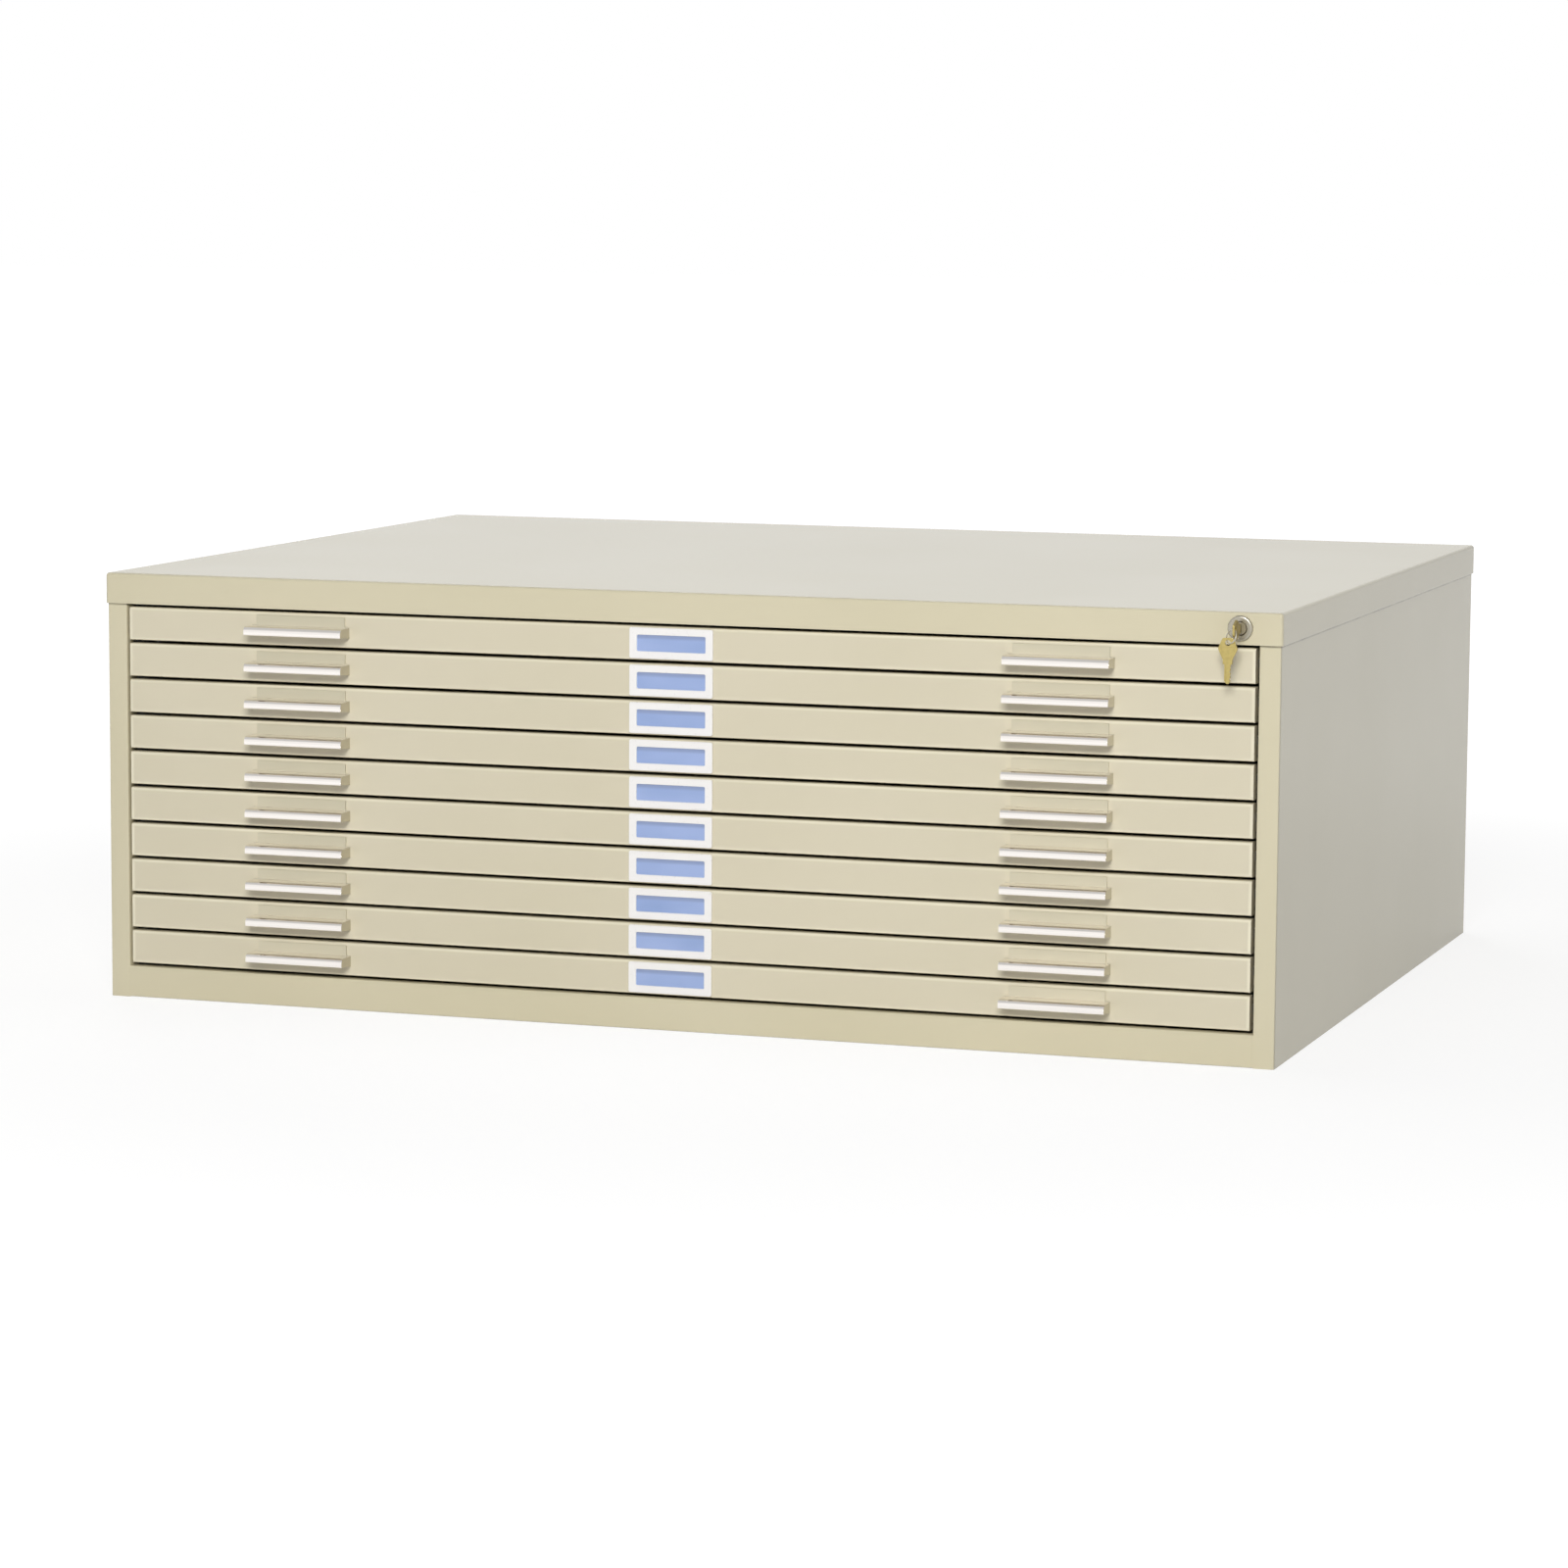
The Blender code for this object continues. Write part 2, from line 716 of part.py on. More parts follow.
def drawer_pull():
    """A pull about the drawer face: a flange, a shelf over the fingers, a rolled lip and two cheeks."""
    half = PULL_SHEET / 2
    nose = -SEAT - PULL_REACH + half
    shelf = PULL_SHELF - half
    corners = [
        (-SEAT, shelf),
        (nose, shelf),
        (nose, PULL_LIP_BOTTOM + half),
        (nose + PULL_ROLL, PULL_LIP_BOTTOM + half),
    ]
    path = rounded(corners, [PULL_NOSE, PULL_SHEET], BEND_STEPS + 1)
    reach = PULL_WIDTH / 2
    hood = folded(path, -reach, reach, PULL_SHEET, ALONG_X)
    flange = block(
        (-PULL_FLANGE_WIDTH / 2, -SEAT - PULL_SHEET, shelf), (PULL_FLANGE_WIDTH / 2, -SEAT, PULL_TOP)
    )
    side = path[:-1] + [Vector((-SEAT, PULL_LIP_BOTTOM - PULL_CHEEK_DROP))]
    right = plate([side], reach - PULL_SHEET, reach, ALONG_X)
    left = plate([side], -reach, -reach + PULL_SHEET, ALONG_X)
    return joined([hood, flange, right, left])


def label_holder():
    """A label holder about the drawer face: a thin frame, with the card lying in its window."""
    low = HOLDER_LIFT
    side = HOLDER_WIDTH / 2
    corner = HOLDER_CORNER
    outline = []
    for u, v, start in (
        (side - corner, low + HOLDER_HEIGHT - corner, 0),
        (corner - side, low + HOLDER_HEIGHT - corner, 90),
        (corner - side, low + corner, 180),
        (side - corner, low + corner, 270),
    ):
        outline += arc((u, v), corner, start, start + 90, BEND_STEPS)
    frame = plate([outline], SEAT, SEAT + HOLDER_DEPTH, ALONG_Y)
    front = -SEAT - HOLDER_DEPTH
    window = block(
        (-WINDOW_WIDTH / 2, front - OVERLAP, WINDOW_LIFT),
        (WINDOW_WIDTH / 2, front + WINDOW_DEPTH, WINDOW_LIFT + WINDOW_HEIGHT),
    )
    return cut(frame, [window])


# Lock


def lock_cylinder():
    """The chromed housing: a bezel in front of the header and a barrel through it."""
    bore = PLUG_RADIUS + RUNNING_GAP
    back = HEADER_Y + BARREL_LENGTH
    seat = HEADER_Y - SEAT
    profile = [
        (bore, LOCK_FACE_Y),
        (BEZEL_RADIUS - BEZEL_CHAMFER, LOCK_FACE_Y),
        (BEZEL_RADIUS, LOCK_FACE_Y + BEZEL_CHAMFER),
        (BEZEL_RADIUS, seat),
        (BARREL_RADIUS, seat),
        (BARREL_RADIUS, back),
        (bore, back),
    ]
    return moved(turned(profile, LOCK_SIDES), (LOCK_X, 0, LOCK_Z))


def lock_nut():
    """The hexagon nut that holds the barrel against the back of the header."""
    front = HEADER_Y + CASE_SHEET + SEAT
    corner = NUT_ACROSS / math.sqrt(3)
    hexagon = arc((LOCK_X, LOCK_Z), corner, 0, 300, 5)
    hole = arc((LOCK_X, LOCK_Z), BARREL_RADIUS + RUNNING_GAP, 0, 360, LOCK_SIDES)[:-1]
    return plate([hexagon, hole], -front - NUT_THICKNESS, -front, ALONG_Y)


def lock_plug():
    """The plug that the key turns, with its keyway open at the front."""
    core = rod((LOCK_X, PLUG_FACE_Y, LOCK_Z), (LOCK_X, PLUG_BACK_Y, LOCK_Z), PLUG_RADIUS, LOCK_SIDES)
    wide = KEY_THICKNESS / 2 + KEYWAY_GAP
    tall = KEY_BLADE_HALF + KEYWAY_GAP
    depth = KEY_LENGTH - KEY_BOW_LENGTH - KEY_STANDOFF + KEYWAY_GAP
    keyway = block(
        (LOCK_X - wide, PLUG_FACE_Y - OVERLAP, LOCK_Z - tall),
        (LOCK_X + wide, PLUG_FACE_Y + depth, LOCK_Z + tall),
    )
    return cut(core, [keyway])


def pin_place():
    """Where the cam's pin stands in X and Z with the lock open."""
    angle = math.radians(CAM_START_DEG)
    return LOCK_X + CAM_THROW * math.cos(angle), LOCK_Z + CAM_THROW * math.sin(angle)


def lock_cam():
    """The cam on the plug's tail: a plate with a nose, and the pin that works the lock bar."""
    pin_x, pin_z = pin_place()
    back = CAM_Y + CAM_THICKNESS
    outline = arc((LOCK_X, LOCK_Z), CAM_HUB, CAM_START_DEG + 90, CAM_START_DEG + 270, ROLLER_SIDES)
    outline += arc((pin_x, pin_z), CAM_NOSE, CAM_START_DEG - 90, CAM_START_DEG + 90, AXLE_SIDES)
    cam = plate([outline], -back, -CAM_Y, ALONG_Y)
    pin = rod(
        (pin_x, back - OVERLAP, pin_z),
        (pin_x, BAR_Y + BAR_THICKNESS + RUNNING_GAP, pin_z),
        PIN_RADIUS,
        ROLLER_SIDES,
    )
    return joined([cam, pin])


def lock_bar():
    """The bar behind the right-hand stile: a slotted head for the cam's pin, and a finger per drawer."""
    pin_x, pin_z = pin_place()
    slot_half = PIN_RADIUS + PIN_GAP
    slot_left = pin_x - slot_half
    slot_right = LOCK_X + CAM_THROW + slot_half
    left = BAR_X
    right = BAR_X + BAR_WIDTH
    head_left = slot_left - BAR_WALL
    head_top = pin_z + BAR_HEAD / 2
    head_bottom = pin_z - BAR_HEAD / 2
    finger_x = TRAY_X + TAB_REACH - FINGER_REACH
    tail = drawer_bottom(DRAWER_COUNT) + FINGER_LIFT - BAR_TAIL
    outline = [
        (left, tail),
        (right, tail),
        (right, head_top),
        (head_left, head_top),
        (head_left, head_bottom),
        (left, head_bottom),
    ]
    for number in range(1, DRAWER_COUNT + 1):
        low = drawer_bottom(number) + FINGER_LIFT
        high = low + FINGER_HEIGHT
        outline += [(left, high), (finger_x, high), (finger_x, low), (left, low)]
    slot = rectangle(slot_left, pin_z - slot_half, slot_right, pin_z + slot_half)
    return plate([outline, slot], -BAR_Y - BAR_THICKNESS, -BAR_Y, ALONG_Y)


def bar_guide(height):
    """A clip on the side panel in which the lock bar slides."""
    half = GUIDE_SHEET / 2
    web = BAR_X + BAR_WIDTH + RUNNING_GAP + half
    front = BAR_Y - RUNNING_GAP - half
    back = BAR_Y + BAR_THICKNESS + RUNNING_GAP + half
    path = [(web - GUIDE_REACH, front), (web, front), (web, back), (web - GUIDE_REACH, back)]
    return folded(path, height, height + GUIDE_HEIGHT, GUIDE_SHEET, ALONG_Z)


# Keys


def key_blank():
    """A key about its hole: the bow towards -Y, the cut blade towards +Y, its thickness along X."""
    shoulder = KEY_BOW_LENGTH - KEY_HOLE_AT
    tip = KEY_LENGTH - KEY_HOLE_AT
    side = rounded(
        [
            (-KEY_HOLE_AT, 0),
            (-KEY_HOLE_AT, KEY_END_HALF),
            (KEY_WIDEST_AT - KEY_HOLE_AT, KEY_BOW_HALF),
            (KEY_NECK_AT - KEY_HOLE_AT, KEY_NECK_HALF),
            (shoulder, KEY_NECK_HALF),
        ],
        KEY_CORNER,
    )[1:]
    plain = side + [Vector((shoulder, KEY_BLADE_HALF)), Vector((tip - KEY_TIP_LENGTH, KEY_BLADE_HALF))]
    cuts = []
    for number in range(KEY_CUTS):
        start = shoulder + KEY_CUT_START + number * KEY_CUT_PITCH
        floor = KEY_BLADE_HALF - KEY_CUT_DEPTH * (1 + number % 2) / 2
        cuts += [
            Vector((start, KEY_BLADE_HALF)),
            Vector((start + KEY_CUT_WIDTH / 3, floor)),
            Vector((start + 2 * KEY_CUT_WIDTH / 3, floor)),
            Vector((start + KEY_CUT_WIDTH, KEY_BLADE_HALF)),
        ]
    cut_side = plain[:-1] + cuts + plain[-1:] + [Vector((tip, KEY_TIP_HALF))]
    plain_side = [Vector((u, -v)) for u, v in reversed(plain + [Vector((tip, KEY_TIP_HALF))])]
    hole = arc((0, 0), KEY_HOLE_RADIUS, 0, 360, ROLLER_SIDES)[:-1]
    return plate([cut_side + plain_side, hole], -KEY_THICKNESS / 2, KEY_THICKNESS / 2, ALONG_X)


def key_ring():
    """The ring about its top, where it passes through the key's hole. It leans to the left."""
    down = Vector((-RING_LEAN, 0, -RING_DROP)).normalized()
    along = Vector((1, -1, -RING_LEAN / RING_DROP)).normalized()
    section = arc((RING_RADIUS, 0), RING_WIRE, 0, 360, WIRE_SIDES)[:-1]
    mesh = turned([tuple(point) for point in section], RING_SIDES)
    turn = Vector((0, 1, 0)).rotation_difference(along.cross(down)).to_matrix().to_4x4()
    mesh.transform(Matrix.Translation(down * RING_RADIUS) @ turn)
    return mesh


# Scene


def build_case():
    side = side_panel()
    rack = runner_rack()
    shell = {
        "top_cap": top_cap(),
        "left_side_panel": mirrored(side),
        "right_side_panel": side,
        "back_panel": back_panel(),
        "bottom_panel": bottom_panel(),
        "bottom_rail": bottom_rail(),
    }
    for name, mesh in shell.items():
        piece(name, mesh, "putty_enamel")
    fittings = {
        "cap_stiffener": cap_stiffener(),
        "left_runner_rack": mirrored(rack),
        "right_runner_rack": rack,
        "upper_bar_guide": bar_guide(drawer_bottom(2)),
        "lower_bar_guide": bar_guide(drawer_bottom(DRAWER_COUNT - 1)),
        "lock_nut": lock_nut(),
    }
    for name, mesh in fittings.items():
        piece(name, mesh, "zinc_steel")
    piece("lock_cylinder", lock_cylinder(), "chromed_steel")


def build_drawers():
    tray = drawer_tray()
    pull = drawer_pull()
    holder = label_holder()
    for number in range(1, DRAWER_COUNT + 1):
        name = f"drawer_{number:02d}"
        slide = pivot(f"{name}_slide", (0, FACE_Y, drawer_bottom(number)))
        piece(name, tray, "putty_enamel", slide)
        piece(f"{name}_label_holder", holder, "label_holder", slide)
        for side, place in (("left", -PULL_OFFSET), ("right", PULL_OFFSET)):
            node = piece(f"{name}_{side}_pull", pull, "chromed_steel", slide)
            node.location.x = place


def build_lock():
    plug_pivot = pivot("lock_plug_pivot", (LOCK_X, PLUG_FACE_Y, LOCK_Z))
    bar_slide = pivot("lock_bar_slide", (BAR_X + BAR_WIDTH / 2, BAR_Y, LOCK_Z))
    hole = Vector((LOCK_X, KEY_HOLE_Y, LOCK_Z))
    key_pivot = pivot("key_slide", hole, plug_pivot)
    ring_pivot = pivot("key_ring_pivot", hole, key_pivot)
    spare_pivot = pivot("spare_key_pivot", hole + Vector((-RING_LEAN, 0, -RING_DROP)), ring_pivot)
    piece("lock_plug", moved(lock_plug(), -plug_pivot.matrix_world.translation), "zinc_steel", plug_pivot)
    piece("lock_cam", moved(lock_cam(), -plug_pivot.matrix_world.translation), "zinc_steel", plug_pivot)
    piece("lock_bar", moved(lock_bar(), -bar_slide.matrix_world.translation), "zinc_steel", bar_slide)
    blank = key_blank()
    piece("key", blank, "key_brass", key_pivot)
    piece("key_ring", key_ring(), "chromed_steel", ring_pivot)
    spare = piece("spare_key", blank, "key_brass", spare_pivot)
    spare.rotation_euler = Matrix(((0, 0, 1), (-1, 0, 0), (0, -1, 0))).to_euler()


def main():
    for old in list(bpy.data.objects):
        bpy.data.objects.remove(old)
    collection = bpy.data.collections.new(COLLECTION_NAME)
    bpy.context.scene.collection.children.link(collection)
    for name in FINISHES:
        make_material(name)
    build_case()
    build_drawers()
    build_lock()


main()
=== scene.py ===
"""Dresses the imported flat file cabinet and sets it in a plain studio.

Metres, +Z up, in the row frame: the drawers open towards -Y. The sheet-metal solids keep their
shapes and get their finishes here. The pulls, label holders, lock face and keys are drawn again
with their fine forms. The label cards, the roller tyres, the axle heads and the enamel in the
bottom rail's seams are added.
"""

import json
import logging
import math
from dataclasses import dataclass
from enum import Enum
from typing import Optional, Sequence

import bmesh
import bpy
from mathutils import Matrix, Vector


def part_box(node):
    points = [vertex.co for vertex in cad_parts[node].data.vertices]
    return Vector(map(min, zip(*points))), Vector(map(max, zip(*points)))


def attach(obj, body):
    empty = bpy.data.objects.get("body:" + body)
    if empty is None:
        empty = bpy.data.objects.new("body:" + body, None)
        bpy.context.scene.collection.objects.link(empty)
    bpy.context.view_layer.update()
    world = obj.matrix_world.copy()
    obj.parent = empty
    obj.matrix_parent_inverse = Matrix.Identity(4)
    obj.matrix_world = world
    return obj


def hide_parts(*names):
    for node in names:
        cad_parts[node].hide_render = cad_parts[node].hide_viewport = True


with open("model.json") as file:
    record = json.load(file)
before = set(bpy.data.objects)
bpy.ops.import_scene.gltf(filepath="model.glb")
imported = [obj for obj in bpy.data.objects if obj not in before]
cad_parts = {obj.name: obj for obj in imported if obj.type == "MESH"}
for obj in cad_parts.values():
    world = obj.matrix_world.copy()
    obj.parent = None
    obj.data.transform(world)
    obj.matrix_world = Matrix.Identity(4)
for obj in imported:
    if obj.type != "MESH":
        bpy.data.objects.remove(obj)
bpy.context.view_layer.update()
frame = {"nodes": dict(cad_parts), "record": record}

LOG = logging.getLogger("flat_file")
MM = 0.001
DRAWERS = 10

Point = tuple[float, float]
Place = tuple[float, float, float]
Loop = list[Point]

# Faces that meet at more than this are shaded as two, and gentler bends as one round surface
CREASE = math.radians(35)
# Edges sharper than this get a small radius
ROUNDED_ABOVE = math.radians(40)
# How strongly big faces set the normals at their corners, which is the most that Blender takes
PANEL_WEIGHT = 100
# Noise mostly lies between these, so its marks are spread from the one to the other
MARKS_RANGE = {"From Min": 0.3, "From Max": 0.7}
# The colour sockets of a Mix node, by number
MIX_FIRST = 6
MIX_SECOND = 7
MIX_RESULT = 2


class Side(Enum):
    """The two sides of the cabinet, seen from the front."""

    LEFT = -1
    RIGHT = 1

    @property
    def word(self) -> str:
        """The side's name, as the solids' names have it."""
        return self.name.lower()


class Join(Enum):
    """How a mesh is put together with others."""

    ADD = "UNION"
    CUT = "DIFFERENCE"


class Space(Enum):
    """How a place on a surface is measured."""

    METRES = "Object"
    SHARES_OF_THE_PIECE = "Generated"


class Tone(Enum):
    """The colours of the real materials, and of the painted shade, shadow and highlight, as sRGB hex values.
    """

    PUTTY = "D6CEB6"
    PUTTY_DUSTY = "D2CAB1"
    PUTTY_CASE = "D3CBAF"
    PUTTY_CASE_DUSTY = "CFC7AA"
    PUTTY_RUBBED = "EBE4CC"
    PUTTY_SOILED = "8E8873"
    PULL_BACK = "C2BCA5"
    HOLDER_WHITE = "F2F0EE"
    CARD_BLUE = "9FB2DD"
    CARD_BLUE_DEEP = "8FA5D2"
    CARD_BLUE_SHADED = "8C9BC0"
    CHROME = "F6F1EC"
    NICKEL = "C6C1B4"
    NICKEL_WORN = "ABA698"
    ZINC = "B3B6B8"
    ZINC_DULL = "9B9FA2"
    BRASS = "B8A76A"
    BRASS_WORN = "A6965E"
    ACETAL = "E4E1D6"
    PAPER_WHITE = "F4F4F4"
    WHITE = "FFFFFF"


def linear(tone: Tone, alpha: float = 1.0) -> tuple[float, float, float, float]:
    """Turns an sRGB colour to the linear values that a socket takes, by the sRGB standard's formula.

    Args:
        tone: The colour.
        alpha: The fourth value.

    Returns:
        Red, green, blue and alpha, linear.
    """
    values = []
    for start in (0, 2, 4):
        value = int(tone.value[start:start + 2], 16) / 255
        values.append(value / 12.92 if value <= 0.04045 else ((value + 0.055) / 1.055) ** 2.4)
    return (*values, alpha)


def add_node(
    tree: bpy.types.NodeTree,
    kind: str,
    settings: Optional[dict] = None,
    inputs: Optional[dict] = None,
    feeds: Optional[dict] = None,
) -> bpy.types.Node:
    """Adds a node, with its settings and its links.

    Args:
        tree: The node tree.
        kind: The node's type name.
        settings: Attribute values.
        inputs: Input name or number to a value, or to the output socket that feeds it.
        feeds: Output name or number to the input socket that it feeds.

    Returns:
        The node.
    """
    node = tree.nodes.new(kind)
    for name, value in (settings or {}).items():
        setattr(node, name, value)
    for name, value in (inputs or {}).items():
        if isinstance(value, bpy.types.NodeSocket):
            tree.links.new(value, node.inputs[name])
        else:
            node.inputs[name].default_value = value
    for name, socket in (feeds or {}).items():
        tree.links.new(node.outputs[name], socket)
    return node


# Finishes


@dataclass(frozen=True)
class Marks:
    """Uneven marks of one real size, such as clouds, wear or grain."""

    # How far apart they are
    size_mm: float
    # How many finer sizes lie on them
    octaves: float = 2.0
    # How many times longer than that they are along X, Y and Z
    stretch: Place = (1, 1, 1)

    def draw(self, tree: bpy.types.NodeTree) -> bpy.types.NodeSocket:
        """Draws the marks as smooth noise that stays on the piece when the piece moves.

        Args:
            tree: The material's node tree.

        Returns:
            The socket of their value.
        """
        place = add_node(tree, "ShaderNodeTexCoord")
        squeeze = add_node(
            tree,
            "ShaderNodeMapping",
            inputs={"Vector": place.outputs["Object"], "Scale": [1 / times for times in self.stretch]},
        )
        noise = add_node(
            tree,
            "ShaderNodeTexNoise",
            inputs={
                "Vector": squeeze.outputs["Vector"],
                "Scale": 1 / (self.size_mm * MM),
                "Detail": self.octaves,
            },
        )
        return noise.outputs["Fac"]


@dataclass
class Coat:
    """A material while it is drawn: its node tree and its Principled shader."""

    tree: bpy.types.NodeTree
    surface: bpy.types.Node

    def axes(self, space: Space) -> bpy.types.Node:
        """Adds the place of each point of the surface, whose outputs are X, Y and Z."""
        place = add_node(self.tree, "ShaderNodeTexCoord")
        return add_node(self.tree, "ShaderNodeSeparateXYZ", inputs={"Vector": place.outputs[space.value]})

    def tones(
        self, marks: bpy.types.NodeSocket, first: Tone, second: Tone, reach: Point
    ) -> bpy.types.NodeSocket:
        """Draws a colour that goes from one tone to another as the marks rise.

        Args:
            marks: The marks' value.
            first: The tone where they are low.
            second: The tone where they are high.
            reach: The values between which the tone changes.

        Returns:
            The colour's socket.
        """
        ramp = add_node(self.tree, "ShaderNodeValToRGB", inputs={"Fac": marks})
        for stop, tone in enumerate((first, second)):
            ramp.color_ramp.elements[stop].position = reach[stop]
            ramp.color_ramp.elements[stop].color = linear(tone)
        return ramp.outputs["Color"]

    def colour(self, drawn: bpy.types.NodeSocket) -> None:
        """Colours the surface with what was drawn."""
        self.tree.links.new(drawn, self.surface.inputs["Base Color"])

    def cover(self, drawn: bpy.types.NodeSocket, tone: Tone, share: bpy.types.NodeSocket) -> None:
        """Colours the surface with what was drawn, and lays a tone over it.

        Args:
            drawn: The colour underneath.
            tone: The tone on it.
            share: How much of the tone there is, from 0 to 1.
        """
        mixed = add_node(
            self.tree,
            "ShaderNodeMix",
            {"data_type": "RGBA"},
            {"Factor": share, MIX_FIRST: drawn, MIX_SECOND: linear(tone)},
        )
        self.colour(mixed.outputs[MIX_RESULT])

    def gloss(self, marks: bpy.types.NodeSocket, first: float, second: float) -> None:
        """Lets the roughness go from one value to another as the marks rise.

        Args:
            marks: The marks' value.
            first: The roughness where they are low.
            second: The roughness where they are high.
        """
        add_node(
            self.tree,
            "ShaderNodeMapRange",
            inputs={"Value": marks, **MARKS_RANGE, "To Min": first, "To Max": second},
            feeds={"Result": self.surface.inputs["Roughness"]},
        )

    def relief(self, marks: bpy.types.NodeSocket, depth_mm: float) -> None:
        """Lets the marks stand up from the surface.

        Args:
            marks: The marks' value.
            depth_mm: How far they stand up, in millimetres.
        """
        add_node(
            self.tree,
            "ShaderNodeBump",
            inputs={"Height": marks, "Distance": depth_mm * MM, "Strength": 1.0},
            feeds={"Normal": self.surface.inputs["Normal"]},
        )


@dataclass(frozen=True)
class Finish:
    """A material: its name, and the values that stay the same all over it."""

    name: str
    tone: Tone
    roughness: float
    metallic: float = 0.0
    ior: float = 1.5

    def build(self) -> bpy.types.Material:
        """Makes the material.

        Returns:
            The material, with all that its finish draws on it.
        """
        material = bpy.data.materials.new(self.name)
        material.use_nodes = True
        material.diffuse_color = linear(self.tone)
        surface = material.node_tree.nodes["Principled BSDF"]
        surface.inputs["Base Color"].default_value = linear(self.tone)
        surface.inputs["Roughness"].default_value = self.roughness
        surface.inputs["Metallic"].default_value = self.metallic
        if not self.metallic:
            surface.inputs["IOR"].default_value = self.ior
        self.draw(Coat(material.node_tree, surface))
        return material

    def draw(self, coat: Coat) -> None:
        """Draws what varies over the surface. Each finish below has its own."""


@dataclass(frozen=True)
class BakedEnamel(Finish):
    """Baked enamel on sheet steel: a semi-gloss putty coat with a faint orange peel in its highlights."""

    dusty: Tone = Tone.PUTTY_DUSTY
    cloud: Marks = Marks(240.0, 3.0)
    cloud_reach: Point = (0.25, 0.6)
    gloss_play: float = 0.008
    # Real orange peel is about 1.5 mm across. It is drawn at 4 mm, so that it shows in the render.
    peel: Marks = Marks(4.0, 1.0)
    peel_depth_mm: float = 0.012

    def enamel(self, coat: Coat) -> bpy.types.NodeSocket:
        """Draws the coat: slow changes of colour and gloss, and the peel.

        Args:
            coat: The material being drawn.

        Returns:
            The socket of the coat's colour.
        """
        cloud = self.cloud.draw(coat.tree)
        coat.gloss(cloud, self.roughness + self.gloss_play, self.roughness - self.gloss_play)
        coat.relief(self.peel.draw(coat.tree), self.peel_depth_mm)
        return coat.tones(cloud, self.dusty, self.tone, self.cloud_reach)

    def lay_on(
        self, coat: Coat, tone: Tone, masks: Sequence[bpy.types.NodeSocket], patches: Marks, thinnest: float
    ) -> None:
        """Draws the coat with a second tone on it, in uneven patches.

        Args:
            coat: The material being drawn.
            tone: The second tone.
            masks: Values from 0 to 1, whose product says where the tone lies.
            patches: The size of the patches.
            thinnest: The tone's share where the patches are thinnest.
        """
        uneven = add_node(
            coat.tree,
            "ShaderNodeMapRange",
            inputs={"Value": patches.draw(coat.tree), **MARKS_RANGE, "To Min": thinnest, "To Max": 1.0},
        )
        share = uneven.outputs["Result"]
        for mask in masks:
            both = add_node(coat.tree, "ShaderNodeMath", {"operation": "MULTIPLY"}, {0: mask, 1: share})
            share = both.outputs["Value"]
        coat.cover(self.enamel(coat), tone, share)

    def draw(self, coat: Coat) -> None:
        """Draws the plain coat."""
        coat.colour(self.enamel(coat))


@dataclass(frozen=True, kw_only=True)
class CaseEnamel(BakedEnamel):
    """The enamel of the case, with painted shade: a thin darker line in the corner under the cap's skirt."""

    skirt_z: float
    # How far the line reaches below the skirt, and how much of that is at its darkest
    line_mm: float = 2.4
    dark_mm: float = 1.2
    # The painted shade ends just short of the skirt, because the cap has the same enamel and takes none of
    # it.
    unshaded_mm: float = 0.02
    patches: Marks = Marks(35.0, 4.0)
    thinnest: float = 0.35

    def draw(self, coat: Coat) -> None:
        """Draws the coat and the painted shade under the skirt.

        Args:
            coat: The material being drawn.
        """
        height = coat.axes(Space.METRES).outputs["Z"]
        line = add_node(
            coat.tree,
            "ShaderNodeMapRange",
            inputs={
                "Value": height,
                "From Min": self.skirt_z - self.line_mm * MM,
                "From Max": self.skirt_z - self.dark_mm * MM,
            },
        )
        under = add_node(
            coat.tree,
            "ShaderNodeMath",
            {"operation": "LESS_THAN"},
            {0: height, 1: self.skirt_z - self.unshaded_mm * MM},
        )
        masks = [line.outputs["Result"], under.outputs["Value"]]
        # Painted shade: the putty turns darker in a thin line just under the skirt, where the skirt shades
        # the side.
        self.lay_on(coat, Tone.PUTTY_SOILED, masks, self.patches, self.thinnest)


